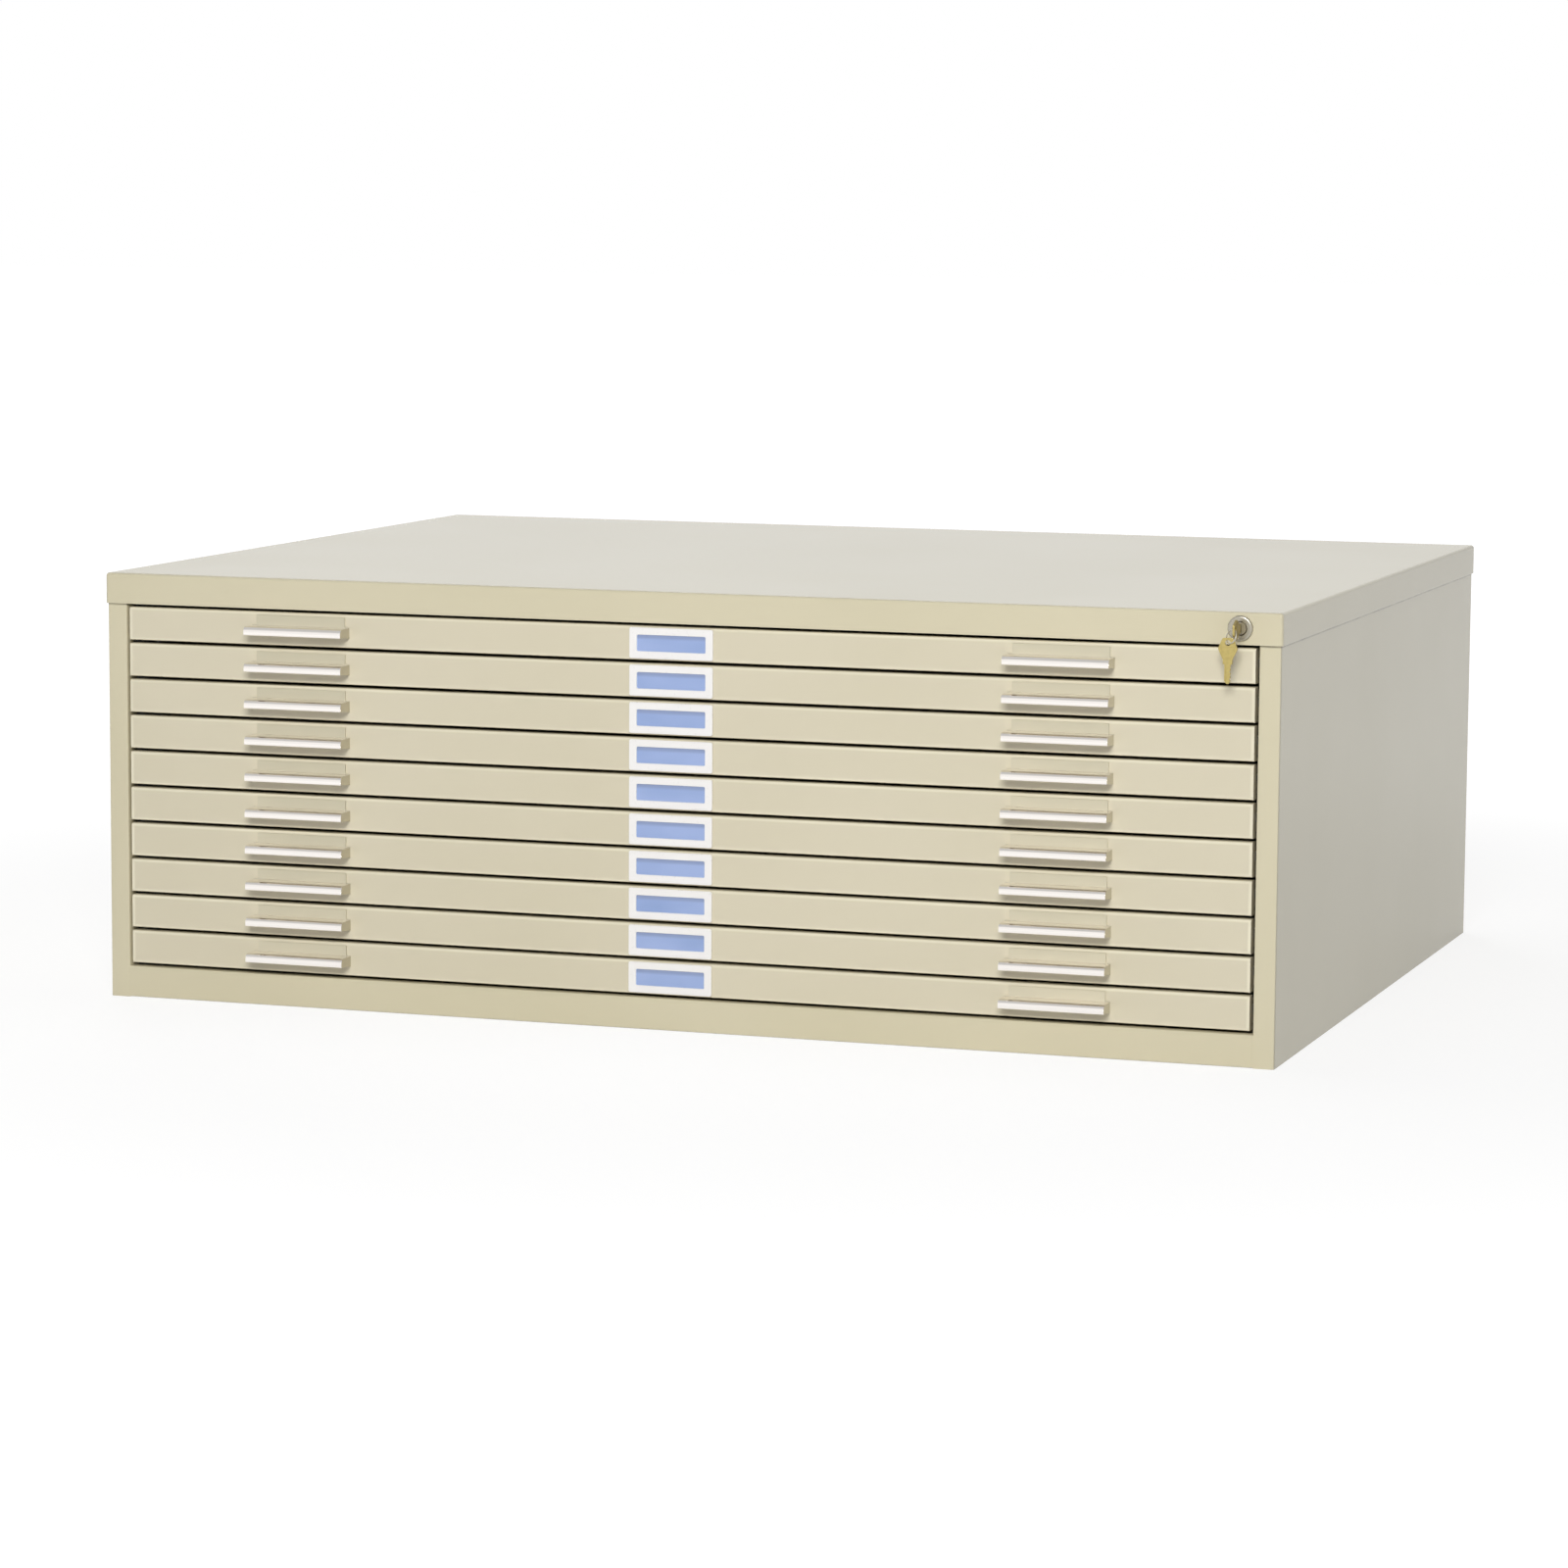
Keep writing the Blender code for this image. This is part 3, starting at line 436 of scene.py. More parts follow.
@dataclass(frozen=True, kw_only=True)
class DrawerEnamel(BakedEnamel):
    """The same enamel on the drawers, with a painted highlight: paler along the bends of each front, in
    uneven patches.
    """

    # Where the lowest front starts, how far apart the fronts are, and each front's size and place
    first_z: float
    pitch: float
    height: float
    half_width: float
    face_y: float
    highlight_mm: float = 2.6
    # The painted highlight fades out over this share of its width on either side of its edge.
    highlight_fade: float = 0.5
    patches: Marks = Marks(60.0, 4.0, (3, 1, 1))
    thinnest: float = 0.45

    def from_the_bends(self, coat: Coat, place: bpy.types.Node) -> bpy.types.NodeSocket:
        """Measures how far a point of any front is from the nearest of the front's four bends.

        Args:
            coat: The material being drawn.
            place: The node whose outputs are X, Y and Z.

        Returns:
            The socket of the distance, in metres.
        """
        tree = coat.tree
        rise = add_node(
            tree, "ShaderNodeMath", {"operation": "SUBTRACT"}, {0: place.outputs["Z"], 1: self.first_z}
        )
        up = add_node(
            tree, "ShaderNodeMath", {"operation": "FLOORED_MODULO"}, {0: rise.outputs["Value"], 1: self.pitch}
        )
        down = add_node(
            tree, "ShaderNodeMath", {"operation": "SUBTRACT"}, {0: self.height, 1: up.outputs["Value"]}
        )
        across = add_node(tree, "ShaderNodeMath", {"operation": "ABSOLUTE"}, {0: place.outputs["X"]})
        inward = add_node(
            tree,
            "ShaderNodeMath",
            {"operation": "SUBTRACT"},
            {0: self.half_width, 1: across.outputs["Value"]},
        )
        nearest = up.outputs["Value"]
        for other in (down, inward):
            least = add_node(
                tree, "ShaderNodeMath", {"operation": "MINIMUM"}, {0: nearest, 1: other.outputs["Value"]}
            )
            nearest = least.outputs["Value"]
        return nearest

    def draw(self, coat: Coat) -> None:
        """Draws the coat and the painted highlight along its bends.

        Args:
            coat: The material being drawn.
        """
        place = coat.axes(Space.METRES)
        highlight_reach = self.highlight_mm * MM
        edge = add_node(
            coat.tree,
            "ShaderNodeMapRange",
            {"interpolation_type": "SMOOTHSTEP"},
            {
                "Value": self.from_the_bends(coat, place),
                "From Min": highlight_reach * (1 + self.highlight_fade),
                "From Max": highlight_reach * (1 - self.highlight_fade),
            },
        )
        front = add_node(
            coat.tree,
            "ShaderNodeMath",
            {"operation": "LESS_THAN"},
            {0: place.outputs["Y"], 1: self.face_y + highlight_reach},
        )
        masks = [edge.outputs["Result"], front.outputs["Value"]]
        # Painted highlight: a paler putty along each front's bends, where the bends catch the light.
        self.lay_on(coat, Tone.PUTTY_RUBBED, masks, self.patches, self.thinnest)


@dataclass(frozen=True)
class ZincPlate(Finish):
    """Bright zinc plate on steel: a cool grey with a cloudy passivated bloom."""

    metallic: float = 1.0
    bloom: Marks = Marks(14.0, 5.0)
    bloom_reach: Point = (0.35, 0.65)
    # How much rougher the plate is under the bloom, and how much smoother where it is clear
    bloom_haze: float = 0.1
    clear_shine: float = 0.08
    # The sheet's rolling marks are finer than this. They are drawn 1.2 mm apart, so that they show.
    rolling: Marks = Marks(1.2, 2.0, (1, 12, 1))
    rolling_depth_mm: float = 0.01

    def draw(self, coat: Coat) -> None:
        """Draws the bloom and the rolling marks.

        Args:
            coat: The material being drawn.
        """
        bloom = self.bloom.draw(coat.tree)
        coat.colour(coat.tones(bloom, Tone.ZINC_DULL, self.tone, self.bloom_reach))
        coat.gloss(bloom, self.roughness + self.bloom_haze, self.roughness - self.clear_shine)
        coat.relief(self.rolling.draw(coat.tree), self.rolling_depth_mm)


@dataclass(frozen=True)
class PolishedPlate(Finish):
    """Chrome or nickel plate over polished steel: it mirrors the room, with faint handling haze."""

    metallic: float = 1.0
    haze: Marks = Marks(25.0, 4.0)
    haze_gain: float = 0.05
    # The polishing wheel leaves low waves, 3 mm across and six times as long.
    waves: Marks = Marks(3.0, 1.0, (6, 1, 1))
    wave_depth_mm: float = 0.003

    def draw(self, coat: Coat) -> None:
        """Draws the haze and the waves."""
        coat.gloss(self.haze.draw(coat.tree), self.roughness, self.roughness + self.haze_gain)
        coat.relief(self.waves.draw(coat.tree), self.wave_depth_mm)


@dataclass(frozen=True)
class StampedBrass(Finish):
    """Brass struck from strip: worn dull in the hollows and brighter where fingers hold it."""

    metallic: float = 1.0
    wear: Marks = Marks(5.0, 5.0)
    wear_reach: Point = (0.35, 0.6)
    # How much rougher the brass is where it is dull, and how much smoother where it is bright
    dull_haze: float = 0.12
    bright_shine: float = 0.05
    # Real scratches are under 0.1 mm wide. They are drawn 0.8 mm apart, so that they show.
    scratches: Marks = Marks(0.8, 2.0, (1, 5, 1))
    scratch_depth_mm: float = 0.008

    def draw(self, coat: Coat) -> None:
        """Draws the wear and the scratches.

        Args:
            coat: The material being drawn.
        """
        wear = self.wear.draw(coat.tree)
        coat.colour(coat.tones(wear, Tone.BRASS_WORN, self.tone, self.wear_reach))
        coat.gloss(wear, self.roughness + self.dull_haze, self.roughness - self.bright_shine)
        coat.relief(self.scratches.draw(coat.tree), self.scratch_depth_mm)


@dataclass(frozen=True)
class WhiteEnamel(Finish):
    """White stoving enamel on a small pressing: bright and even, with soft gloss."""

    # Real peel on a small pressing is about 1 mm across. It is drawn at 3 mm, so that it shows.
    peel: Marks = Marks(3.0)
    peel_depth_mm: float = 0.01
    hollow_shine: float = 0.04
    crown_haze: float = 0.06

    def draw(self, coat: Coat) -> None:
        """Draws the peel, smoother in its hollows than on its crowns.

        Args:
            coat: The material being drawn.
        """
        peel = self.peel.draw(coat.tree)
        coat.gloss(peel, self.roughness - self.hollow_shine, self.roughness + self.crown_haze)
        coat.relief(peel, self.peel_depth_mm)


@dataclass(frozen=True)
class CardStock(Finish):
    """Blue index card: matt paper, slightly uneven with its fibres, and with a painted shadow of the frame
    along its upper edge.
    """

    fade: Marks = Marks(45.0, 2.0, (2, 1, 1))
    fade_reach: Point = (0.3, 0.6)
    # Paper fibre clumps are about 0.8 mm across. They are drawn at 2.5 mm, so that they show.
    fibres: Marks = Marks(2.5, 4.0)
    fibre_depth_mm: float = 0.02
    # Where the painted shadow along the upper edge starts and where it is full, as shares of the card's
    # height
    shadow_from: float = 0.7
    shadow_full: float = 0.86

    def draw(self, coat: Coat) -> None:
        """Draws the fibres, a slow fading and the painted shadow along the upper edge.

        Args:
            coat: The material being drawn.
        """
        height = coat.axes(Space.SHARES_OF_THE_PIECE).outputs["Z"]
        # Painted shadow: the card darkens towards its upper edge, where the frame's lip shades it.
        dull = add_node(
            coat.tree,
            "ShaderNodeMapRange",
            inputs={"Value": height, "From Min": self.shadow_from, "From Max": self.shadow_full},
        )
        paper = coat.tones(self.fade.draw(coat.tree), Tone.CARD_BLUE_DEEP, self.tone, self.fade_reach)
        coat.cover(paper, Tone.CARD_BLUE_SHADED, dull.outputs["Result"])
        coat.relief(self.fibres.draw(coat.tree), self.fibre_depth_mm)


@dataclass(frozen=True)
class MouldedAcetal(Finish):
    """Moulded acetal: the off-white tyres of the rollers, matt where they run."""

    running: Marks = Marks(6.0, 3.0, (1, 4, 4))
    running_depth_mm: float = 0.01
    polished: float = 0.08
    scuffed: float = 0.12

    def draw(self, coat: Coat) -> None:
        """Draws the running marks, some polished and some scuffed.

        Args:
            coat: The material being drawn.
        """
        running = self.running.draw(coat.tree)
        coat.gloss(running, self.roughness - self.polished, self.roughness + self.scuffed)
        coat.relief(running, self.running_depth_mm)


@dataclass(frozen=True)
class StudioPaper(Finish):
    """The seamless white paper under the cabinet. It isn't part of the object."""

    # How much of the paper's own shade, and so of the cabinet's shadow, shows near the cabinet
    shadow_share: float = 0.28
    glow: float = 1.1
    # The shadow shows in full up to the first distance from the middle, and not at all past the second.
    near: float = 0.9
    far: float = 2.4

    def draw(self, coat: Coat) -> None:
        """Makes the paper white where the camera, metal and glass see it, but for the shadow on it.

        Args:
            coat: The material being drawn.
        """
        tree = coat.tree
        place = add_node(tree, "ShaderNodeTexCoord")
        away = add_node(tree, "ShaderNodeVectorMath", {"operation": "LENGTH"}, {0: place.outputs["Object"]})
        kept = add_node(
            tree,
            "ShaderNodeMapRange",
            {"interpolation_type": "SMOOTHSTEP"},
            {
                "Value": away.outputs["Value"],
                "From Min": self.near,
                "From Max": self.far,
                "To Min": 1 - self.shadow_share,
            },
        )
        share = add_node(
            tree,
            "ShaderNodeMath",
            {"operation": "MULTIPLY"},
            {0: seen_by_eye(tree), 1: kept.outputs["Result"]},
        )
        glow = add_node(
            tree, "ShaderNodeEmission", inputs={"Color": linear(Tone.WHITE), "Strength": self.glow}
        )
        add_node(
            tree,
            "ShaderNodeMixShader",
            inputs={
                "Fac": share.outputs["Value"],
                1: coat.surface.outputs["BSDF"],
                2: glow.outputs["Emission"],
            },
            feeds={"Shader": tree.nodes["Material Output"].inputs["Surface"]},
        )


def seen_by_eye(tree: bpy.types.NodeTree) -> bpy.types.NodeSocket:
    """Adds a value that is 1 for camera, glossy and transmission rays.

    Args:
        tree: A material's or the world's node tree.

    Returns:
        The value's socket.
    """
    path = add_node(tree, "ShaderNodeLightPath")
    seen = path.outputs["Is Camera Ray"]
    for ray in ("Is Glossy Ray", "Is Transmission Ray"):
        either = add_node(tree, "ShaderNodeMath", {"operation": "MAXIMUM"}, {0: seen, 1: path.outputs[ray]})
        seen = either.outputs["Value"]
    return seen


# Shapes


def rounded_path(corners: Sequence[Point], radii: Sequence[float], steps: int) -> Loop:
    """Rounds the inner corners of an open line.

    Args:
        corners: The line's points.
        radii: One radius for each inner corner.
        steps: Facets in each arc.

    Returns:
        The line with its arcs.
    """
    path = [Vector(corners[0])]
    for before, corner, after, radius in zip(corners, corners[1:], corners[2:], radii):
        corner = Vector(corner)
        back = (Vector(before) - corner).normalized()
        ahead = (Vector(after) - corner).normalized()
        half = back.angle(ahead) / 2
        centre = corner + (back + ahead).normalized() * (radius / math.sin(half))
        start = corner + back * (radius / math.tan(half)) - centre
        end = corner + ahead * (radius / math.tan(half)) - centre
        turn = start.angle_signed(end)
        for step in range(steps + 1):
            path.append(centre + Matrix.Rotation(-turn * step / steps, 2) @ start)
    path.append(Vector(corners[-1]))
    return [tuple(point) for point in path]


def arc(centre: Point, radius: float, start_deg: float, end_deg: float, steps: int) -> Loop:
    """Puts points on an arc, both ends included.

    Args:
        centre: The arc's middle.
        radius: Its radius.
        start_deg: Where it starts, in degrees.
        end_deg: Where it ends, in degrees.
        steps: Its facets.

    Returns:
        The points.
    """
    points = []
    for step in range(steps + 1):
        angle = math.radians(start_deg + (end_deg - start_deg) * step / steps)
        points.append((centre[0] + radius * math.cos(angle), centre[1] + radius * math.sin(angle)))
    return points


def rounded_rectangle(low: Point, high: Point, radius: float, steps: int) -> Loop:
    """Draws a rectangle with rounded corners, anticlockwise.

    Args:
        low: Its lower left corner.
        high: Its upper right corner.
        radius: The radius of its corners.
        steps: Facets in each corner.

    Returns:
        The closed outline.
    """
    loop = arc((high[0] - radius, high[1] - radius), radius, 0, 90, steps)
    loop += arc((low[0] + radius, high[1] - radius), radius, 90, 180, steps)
    loop += arc((low[0] + radius, low[1] + radius), radius, 180, 270, steps)
    loop += arc((high[0] - radius, low[1] + radius), radius, 270, 360, steps)
    return loop


def mesh_from(name: str, work: bmesh.types.BMesh) -> bpy.types.Mesh:
    """Turns a working mesh into a named one, with its normals outwards.

    Args:
        name: The mesh's name.
        work: The working mesh, which is freed.

    Returns:
        The mesh.
    """
    bmesh.ops.recalc_face_normals(work, faces=work.faces)
    mesh = bpy.data.meshes.new(name)
    work.to_mesh(mesh)
    work.free()
    return mesh


def slab(name: str, loop: Loop, low: float, high: float, plane: Matrix) -> bpy.types.Mesh:
    """Makes a plate with this outline.

    Args:
        name: The mesh's name.
        loop: The outline.
        low: Where the plate starts, across its plane.
        high: Where it ends.
        plane: Turns (u, v, w) into the row frame.

    Returns:
        The closed mesh.
    """
    work = bmesh.new()
    rings = [[work.verts.new(plane @ Vector((u, v, w))) for u, v in loop] for w in (low, high)]
    work.faces.new(rings[0])
    work.faces.new(rings[1])
    for index in range(len(loop)):
        following = (index + 1) % len(loop)
        work.faces.new((rings[0][index], rings[0][following], rings[1][following], rings[1][index]))
    return mesh_from(name, work)


def turned(name: str, profile: Loop, sides: int, axis: Matrix) -> bpy.types.Mesh:
    """Makes a ring or a solid turned about a line.

    Args:
        name: The mesh's name.
        profile: Closed (radius, height) points. A radius of 0 lies on the line.
        sides: Facets round the line.
        axis: Turns a shape about +Z into the row frame.

    Returns:
        The closed mesh.
    """
    work = bmesh.new()
    rings = []
    for radius, height in profile:
        if radius == 0:
            rings.append([work.verts.new(axis @ Vector((0, 0, height)))] * sides)
            continue
        ring = []
        for side in range(sides):
            angle = math.tau * side / sides
            point = Vector((radius * math.cos(angle), radius * math.sin(angle), height))
            ring.append(work.verts.new(axis @ point))
        rings.append(ring)
    for first, second in zip(rings, rings[1:] + rings[:1]):
        for side in range(sides):
            following = (side + 1) % sides
            corners = (first[side], first[following], second[following], second[side])
            distinct = list(dict.fromkeys(corners))
            if len(distinct) > 2:
                work.faces.new(distinct)
    return mesh_from(name, work)


def baked(source: bpy.types.Object) -> bpy.types.Mesh:
    """Applies an object's modifiers.

    Args:
        source: The object, which is removed.

    Returns:
        What it looked like, as a mesh.
    """
    if source.name not in bpy.context.scene.collection.objects:
        bpy.context.scene.collection.objects.link(source)
    bpy.context.view_layer.update()
    graph = bpy.context.evaluated_depsgraph_get()
    mesh = bpy.data.meshes.new_from_object(source.evaluated_get(graph))
    mesh.name = source.name
    bpy.data.objects.remove(source)
    return mesh


def combined(first: bpy.types.Mesh, others: Sequence[bpy.types.Mesh], how: Join) -> bpy.types.Mesh:
    """Joins a mesh with others, or cuts it by them.

    Args:
        first: The mesh that is changed.
        others: The meshes that join or cut it.
        how: Which of the two.

    Returns:
        The new mesh.
    """
    source = bpy.data.objects.new(first.name, first)
    tools = [bpy.data.objects.new("tool", mesh) for mesh in others]
    for tool in tools:
        bpy.context.scene.collection.objects.link(tool)
        step = source.modifiers.new("combine", "BOOLEAN")
        step.operation = how.value
        step.object = tool
        step.solver = "EXACT"
    mesh = baked(source)
    for tool in tools:
        bpy.data.objects.remove(tool)
    return mesh


def softened(mesh: bpy.types.Mesh, width_mm: float, segments: int = 2) -> bpy.types.Mesh:
    """Rounds a mesh's sharp edges.

    Args:
        mesh: The mesh.
        width_mm: How wide the rounding is, in millimetres.
        segments: Its facets.

    Returns:
        The new mesh.
    """
    source = bpy.data.objects.new(mesh.name, mesh)
    bevel = source.modifiers.new("edge", "BEVEL")
    bevel.width = width_mm * MM
    bevel.segments = segments
    bevel.limit_method = "ANGLE"
    bevel.angle_limit = ROUNDED_ABOVE
    bevel.harden_normals = True
    return baked(source)


def keep_panels_flat(piece: bpy.types.Object) -> None:
    """Lets the flat panels set the normals at their edges, so that only the bends are shaded round.

    Args:
        piece: A piece or a solid.
    """
    even = piece.modifiers.new("flat_panels", "WEIGHTED_NORMAL")
    even.mode = "FACE_AREA"
    even.weight = PANEL_WEIGHT
    even.keep_sharp = True


def place_piece(
    name: str,
    mesh: bpy.types.Mesh,
    materials: Sequence[bpy.types.Material],
    body: str,
    stands_for: Sequence[str] = (),
) -> bpy.types.Object:
    """Adds a piece that rides on a body.

    Args:
        name: The piece's name.
        mesh: Its mesh, in the row frame.
        materials: Its materials, in the order of its faces' numbers.
        body: The body that it moves with.
        stands_for: The solids that it replaces.

    Returns:
        The piece.
    """
    piece = bpy.data.objects.new(name, mesh)
    bpy.context.scene.collection.objects.link(piece)
    mesh.materials.clear()
    for material in materials:
        mesh.materials.append(material)
    mesh.shade_smooth()
    mesh.set_sharp_from_angle(angle=CREASE)
    keep_panels_flat(piece)
    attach(piece, body)
    if stands_for:
        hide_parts(*stands_for)
    LOG.info("%s rides on %s, %d faces", name, body, len(mesh.polygons))
    return piece


# Planes in which outlines are drawn, as part of the row frame
UPRIGHT = Matrix(((1, 0, 0, 0), (0, 0, 1, 0), (0, 1, 0, 0), (0, 0, 0, 1)))  # (x, z) across y
ENDWISE = Matrix(((0, 0, 1, 0), (1, 0, 0, 0), (0, 1, 0, 0), (0, 0, 0, 1)))  # (y, z) across x
# Turns a key whose blade points back so that the blade hangs down, with a flat face to the front
HANGING = Matrix(((0, 0, 1, 0), (-1, 0, 0, 0), (0, -1, 0, 0), (0, 0, 0, 1)))


@dataclass
class Palette:
    """Every finish of the cabinet, made once."""

    case: bpy.types.Material
    drawer: bpy.types.Material
    pull_back: bpy.types.Material
    chrome: bpy.types.Material
    nickel: bpy.types.Material
    worn_nickel: bpy.types.Material
    zinc: bpy.types.Material
    holder: bpy.types.Material
    card: bpy.types.Material
    brass: bpy.types.Material
    acetal: bpy.types.Material

    @classmethod
    def mixed(cls) -> "Palette":
        """Makes the finishes, with the painted shade under the skirt and the painted highlight on the bends
        placed by the frame.

        Returns:
            The palette.
        """
        low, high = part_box("drawer_10")
        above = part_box("drawer_09")[0]
        return cls(
            # Baked enamel on the case: an even, pale putty with a broad soft highlight on the side and top
            case=CaseEnamel(
                "putty_baked_enamel",
                Tone.PUTTY_CASE,
                roughness=0.21,
                ior=1.42,
                dusty=Tone.PUTTY_CASE_DUSTY,
                # The painted shade line lies just under the cap's skirt.
                skirt_z=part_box("top_cap")[0].z,
            ).build(),
            # Baked enamel on the drawers: the same, a little cooler, with a painted highlight along every
            # front's bends
            drawer=DrawerEnamel(
                "putty_enamel_rubbed_at_bends",
                Tone.PUTTY,
                roughness=0.2,
                ior=1.42,
                first_z=low.z,
                pitch=above.z - low.z,
                height=high.z - low.z,
                half_width=high.x,
                face_y=low.y,
            ).build(),
            # Enamel on the pulls' plates: greyer and nearly matt, so that the bright shelf stands out from it
            pull_back=BakedEnamel("putty_enamel_on_pull_plate", Tone.PULL_BACK, roughness=0.42).build(),
            # Satin chrome plate on the pulls' shelves and lips: a bright line that mirrors the white paper
            chrome=PolishedPlate("satin_chrome_plate", Tone.CHROME, roughness=0.1).build(),
            # Nickel plate on the pulls' cheeks and the split ring: a warmer and softer mirror than chrome
            nickel=PolishedPlate("nickel_plate", Tone.NICKEL, roughness=0.2).build(),
            # Worn nickel plate on the lock's face: grey and dull, with a soft highlight round the bezel
            worn_nickel=PolishedPlate("nickel_plate_worn_dull", Tone.NICKEL_WORN, roughness=0.26).build(),
            # Bright zinc plate on the slides and the lock bar: a cool grey with a cloudy bloom
            zinc=ZincPlate("bright_zinc_plate", Tone.ZINC, roughness=0.34).build(),
            # White stoving enamel on the label holders: the whitest thing on the front, with a soft gloss
            holder=WhiteEnamel("white_stoving_enamel", Tone.HOLDER_WHITE, roughness=0.3).build(),
            # Blue index card: matt, so that its colour stays even beside the shining enamel
            card=CardStock("blue_index_card", Tone.CARD_BLUE, roughness=0.75).build(),
            # Stamped brass of the keys: a dusky yellow with warm highlights and duller hollows
            brass=StampedBrass("stamped_key_brass", Tone.BRASS, roughness=0.34).build(),
            # Moulded acetal of the tyres: a soft off-white that mirrors nothing
            acetal=MouldedAcetal("moulded_acetal", Tone.ACETAL, roughness=0.42).build(),
        )


@dataclass
class SheetSolids:
    """The solids that keep their own shapes: they get a finish, and smooth shading over their bends."""

    palette: Palette
    weld_mm: float = 0.01

    def smoothing(self) -> bpy.types.NodeTree:
        """Makes the modifier's node group, which welds the facets and leaves only real creases sharp.

        Returns:
            The node group.
        """
        group = bpy.data.node_groups.new("smooth_bends", "GeometryNodeTree")
        for way in ("INPUT", "OUTPUT"):
            group.interface.new_socket("Geometry", in_out=way, socket_type="NodeSocketGeometry")
        start = add_node(group, "NodeGroupInput")
        end = add_node(group, "NodeGroupOutput")
        weld = add_node(
            group,
            "GeometryNodeMergeByDistance",
            inputs={"Geometry": start.outputs["Geometry"], "Distance": self.weld_mm * MM},
        )
        angle = add_node(group, "GeometryNodeInputMeshEdgeAngle")
        sharp = add_node(
            group,
            "FunctionNodeCompare",
            {"data_type": "FLOAT", "operation": "GREATER_THAN"},
            {0: angle.outputs["Unsigned Angle"], 1: CREASE},
        )
        add_node(
            group,
            "GeometryNodeSetMeshNormal",
            {"mode": "SHARPNESS"},
            {
                "Mesh": weld.outputs["Geometry"],
                "Remove Custom": True,
                "Edge Sharpness": sharp.outputs["Result"],
            },
            {"Mesh": end.inputs["Geometry"]},
        )
        return group

    def dress(self) -> None:
        """Gives every solid that is still shown its finish and its smoothing."""
        group = self.smoothing()
        by_slot = {"putty_enamel": self.palette.case, "zinc_steel": self.palette.zinc}
        slots = {row["node"]: row["material_slot"] for row in frame["record"]["subparts"]}
        for name, node in frame["nodes"].items():
            if node.hide_render:
                continue
            finish = self.palette.drawer if name.startswith("drawer_") else by_slot[slots[name]]
            for slot in node.material_slots:
                slot.material = finish
            node.modifiers.new("smooth_bends", "NODES").node_group = group
            keep_panels_flat(node)
            LOG.info("%s keeps its solid, in %s", name, finish.name)


class PullFace(Enum):
    """The parts of a pull, by the place of their finish in its list of materials."""

    SHELF = 0
    PLATE = 1
    CHEEK = 2


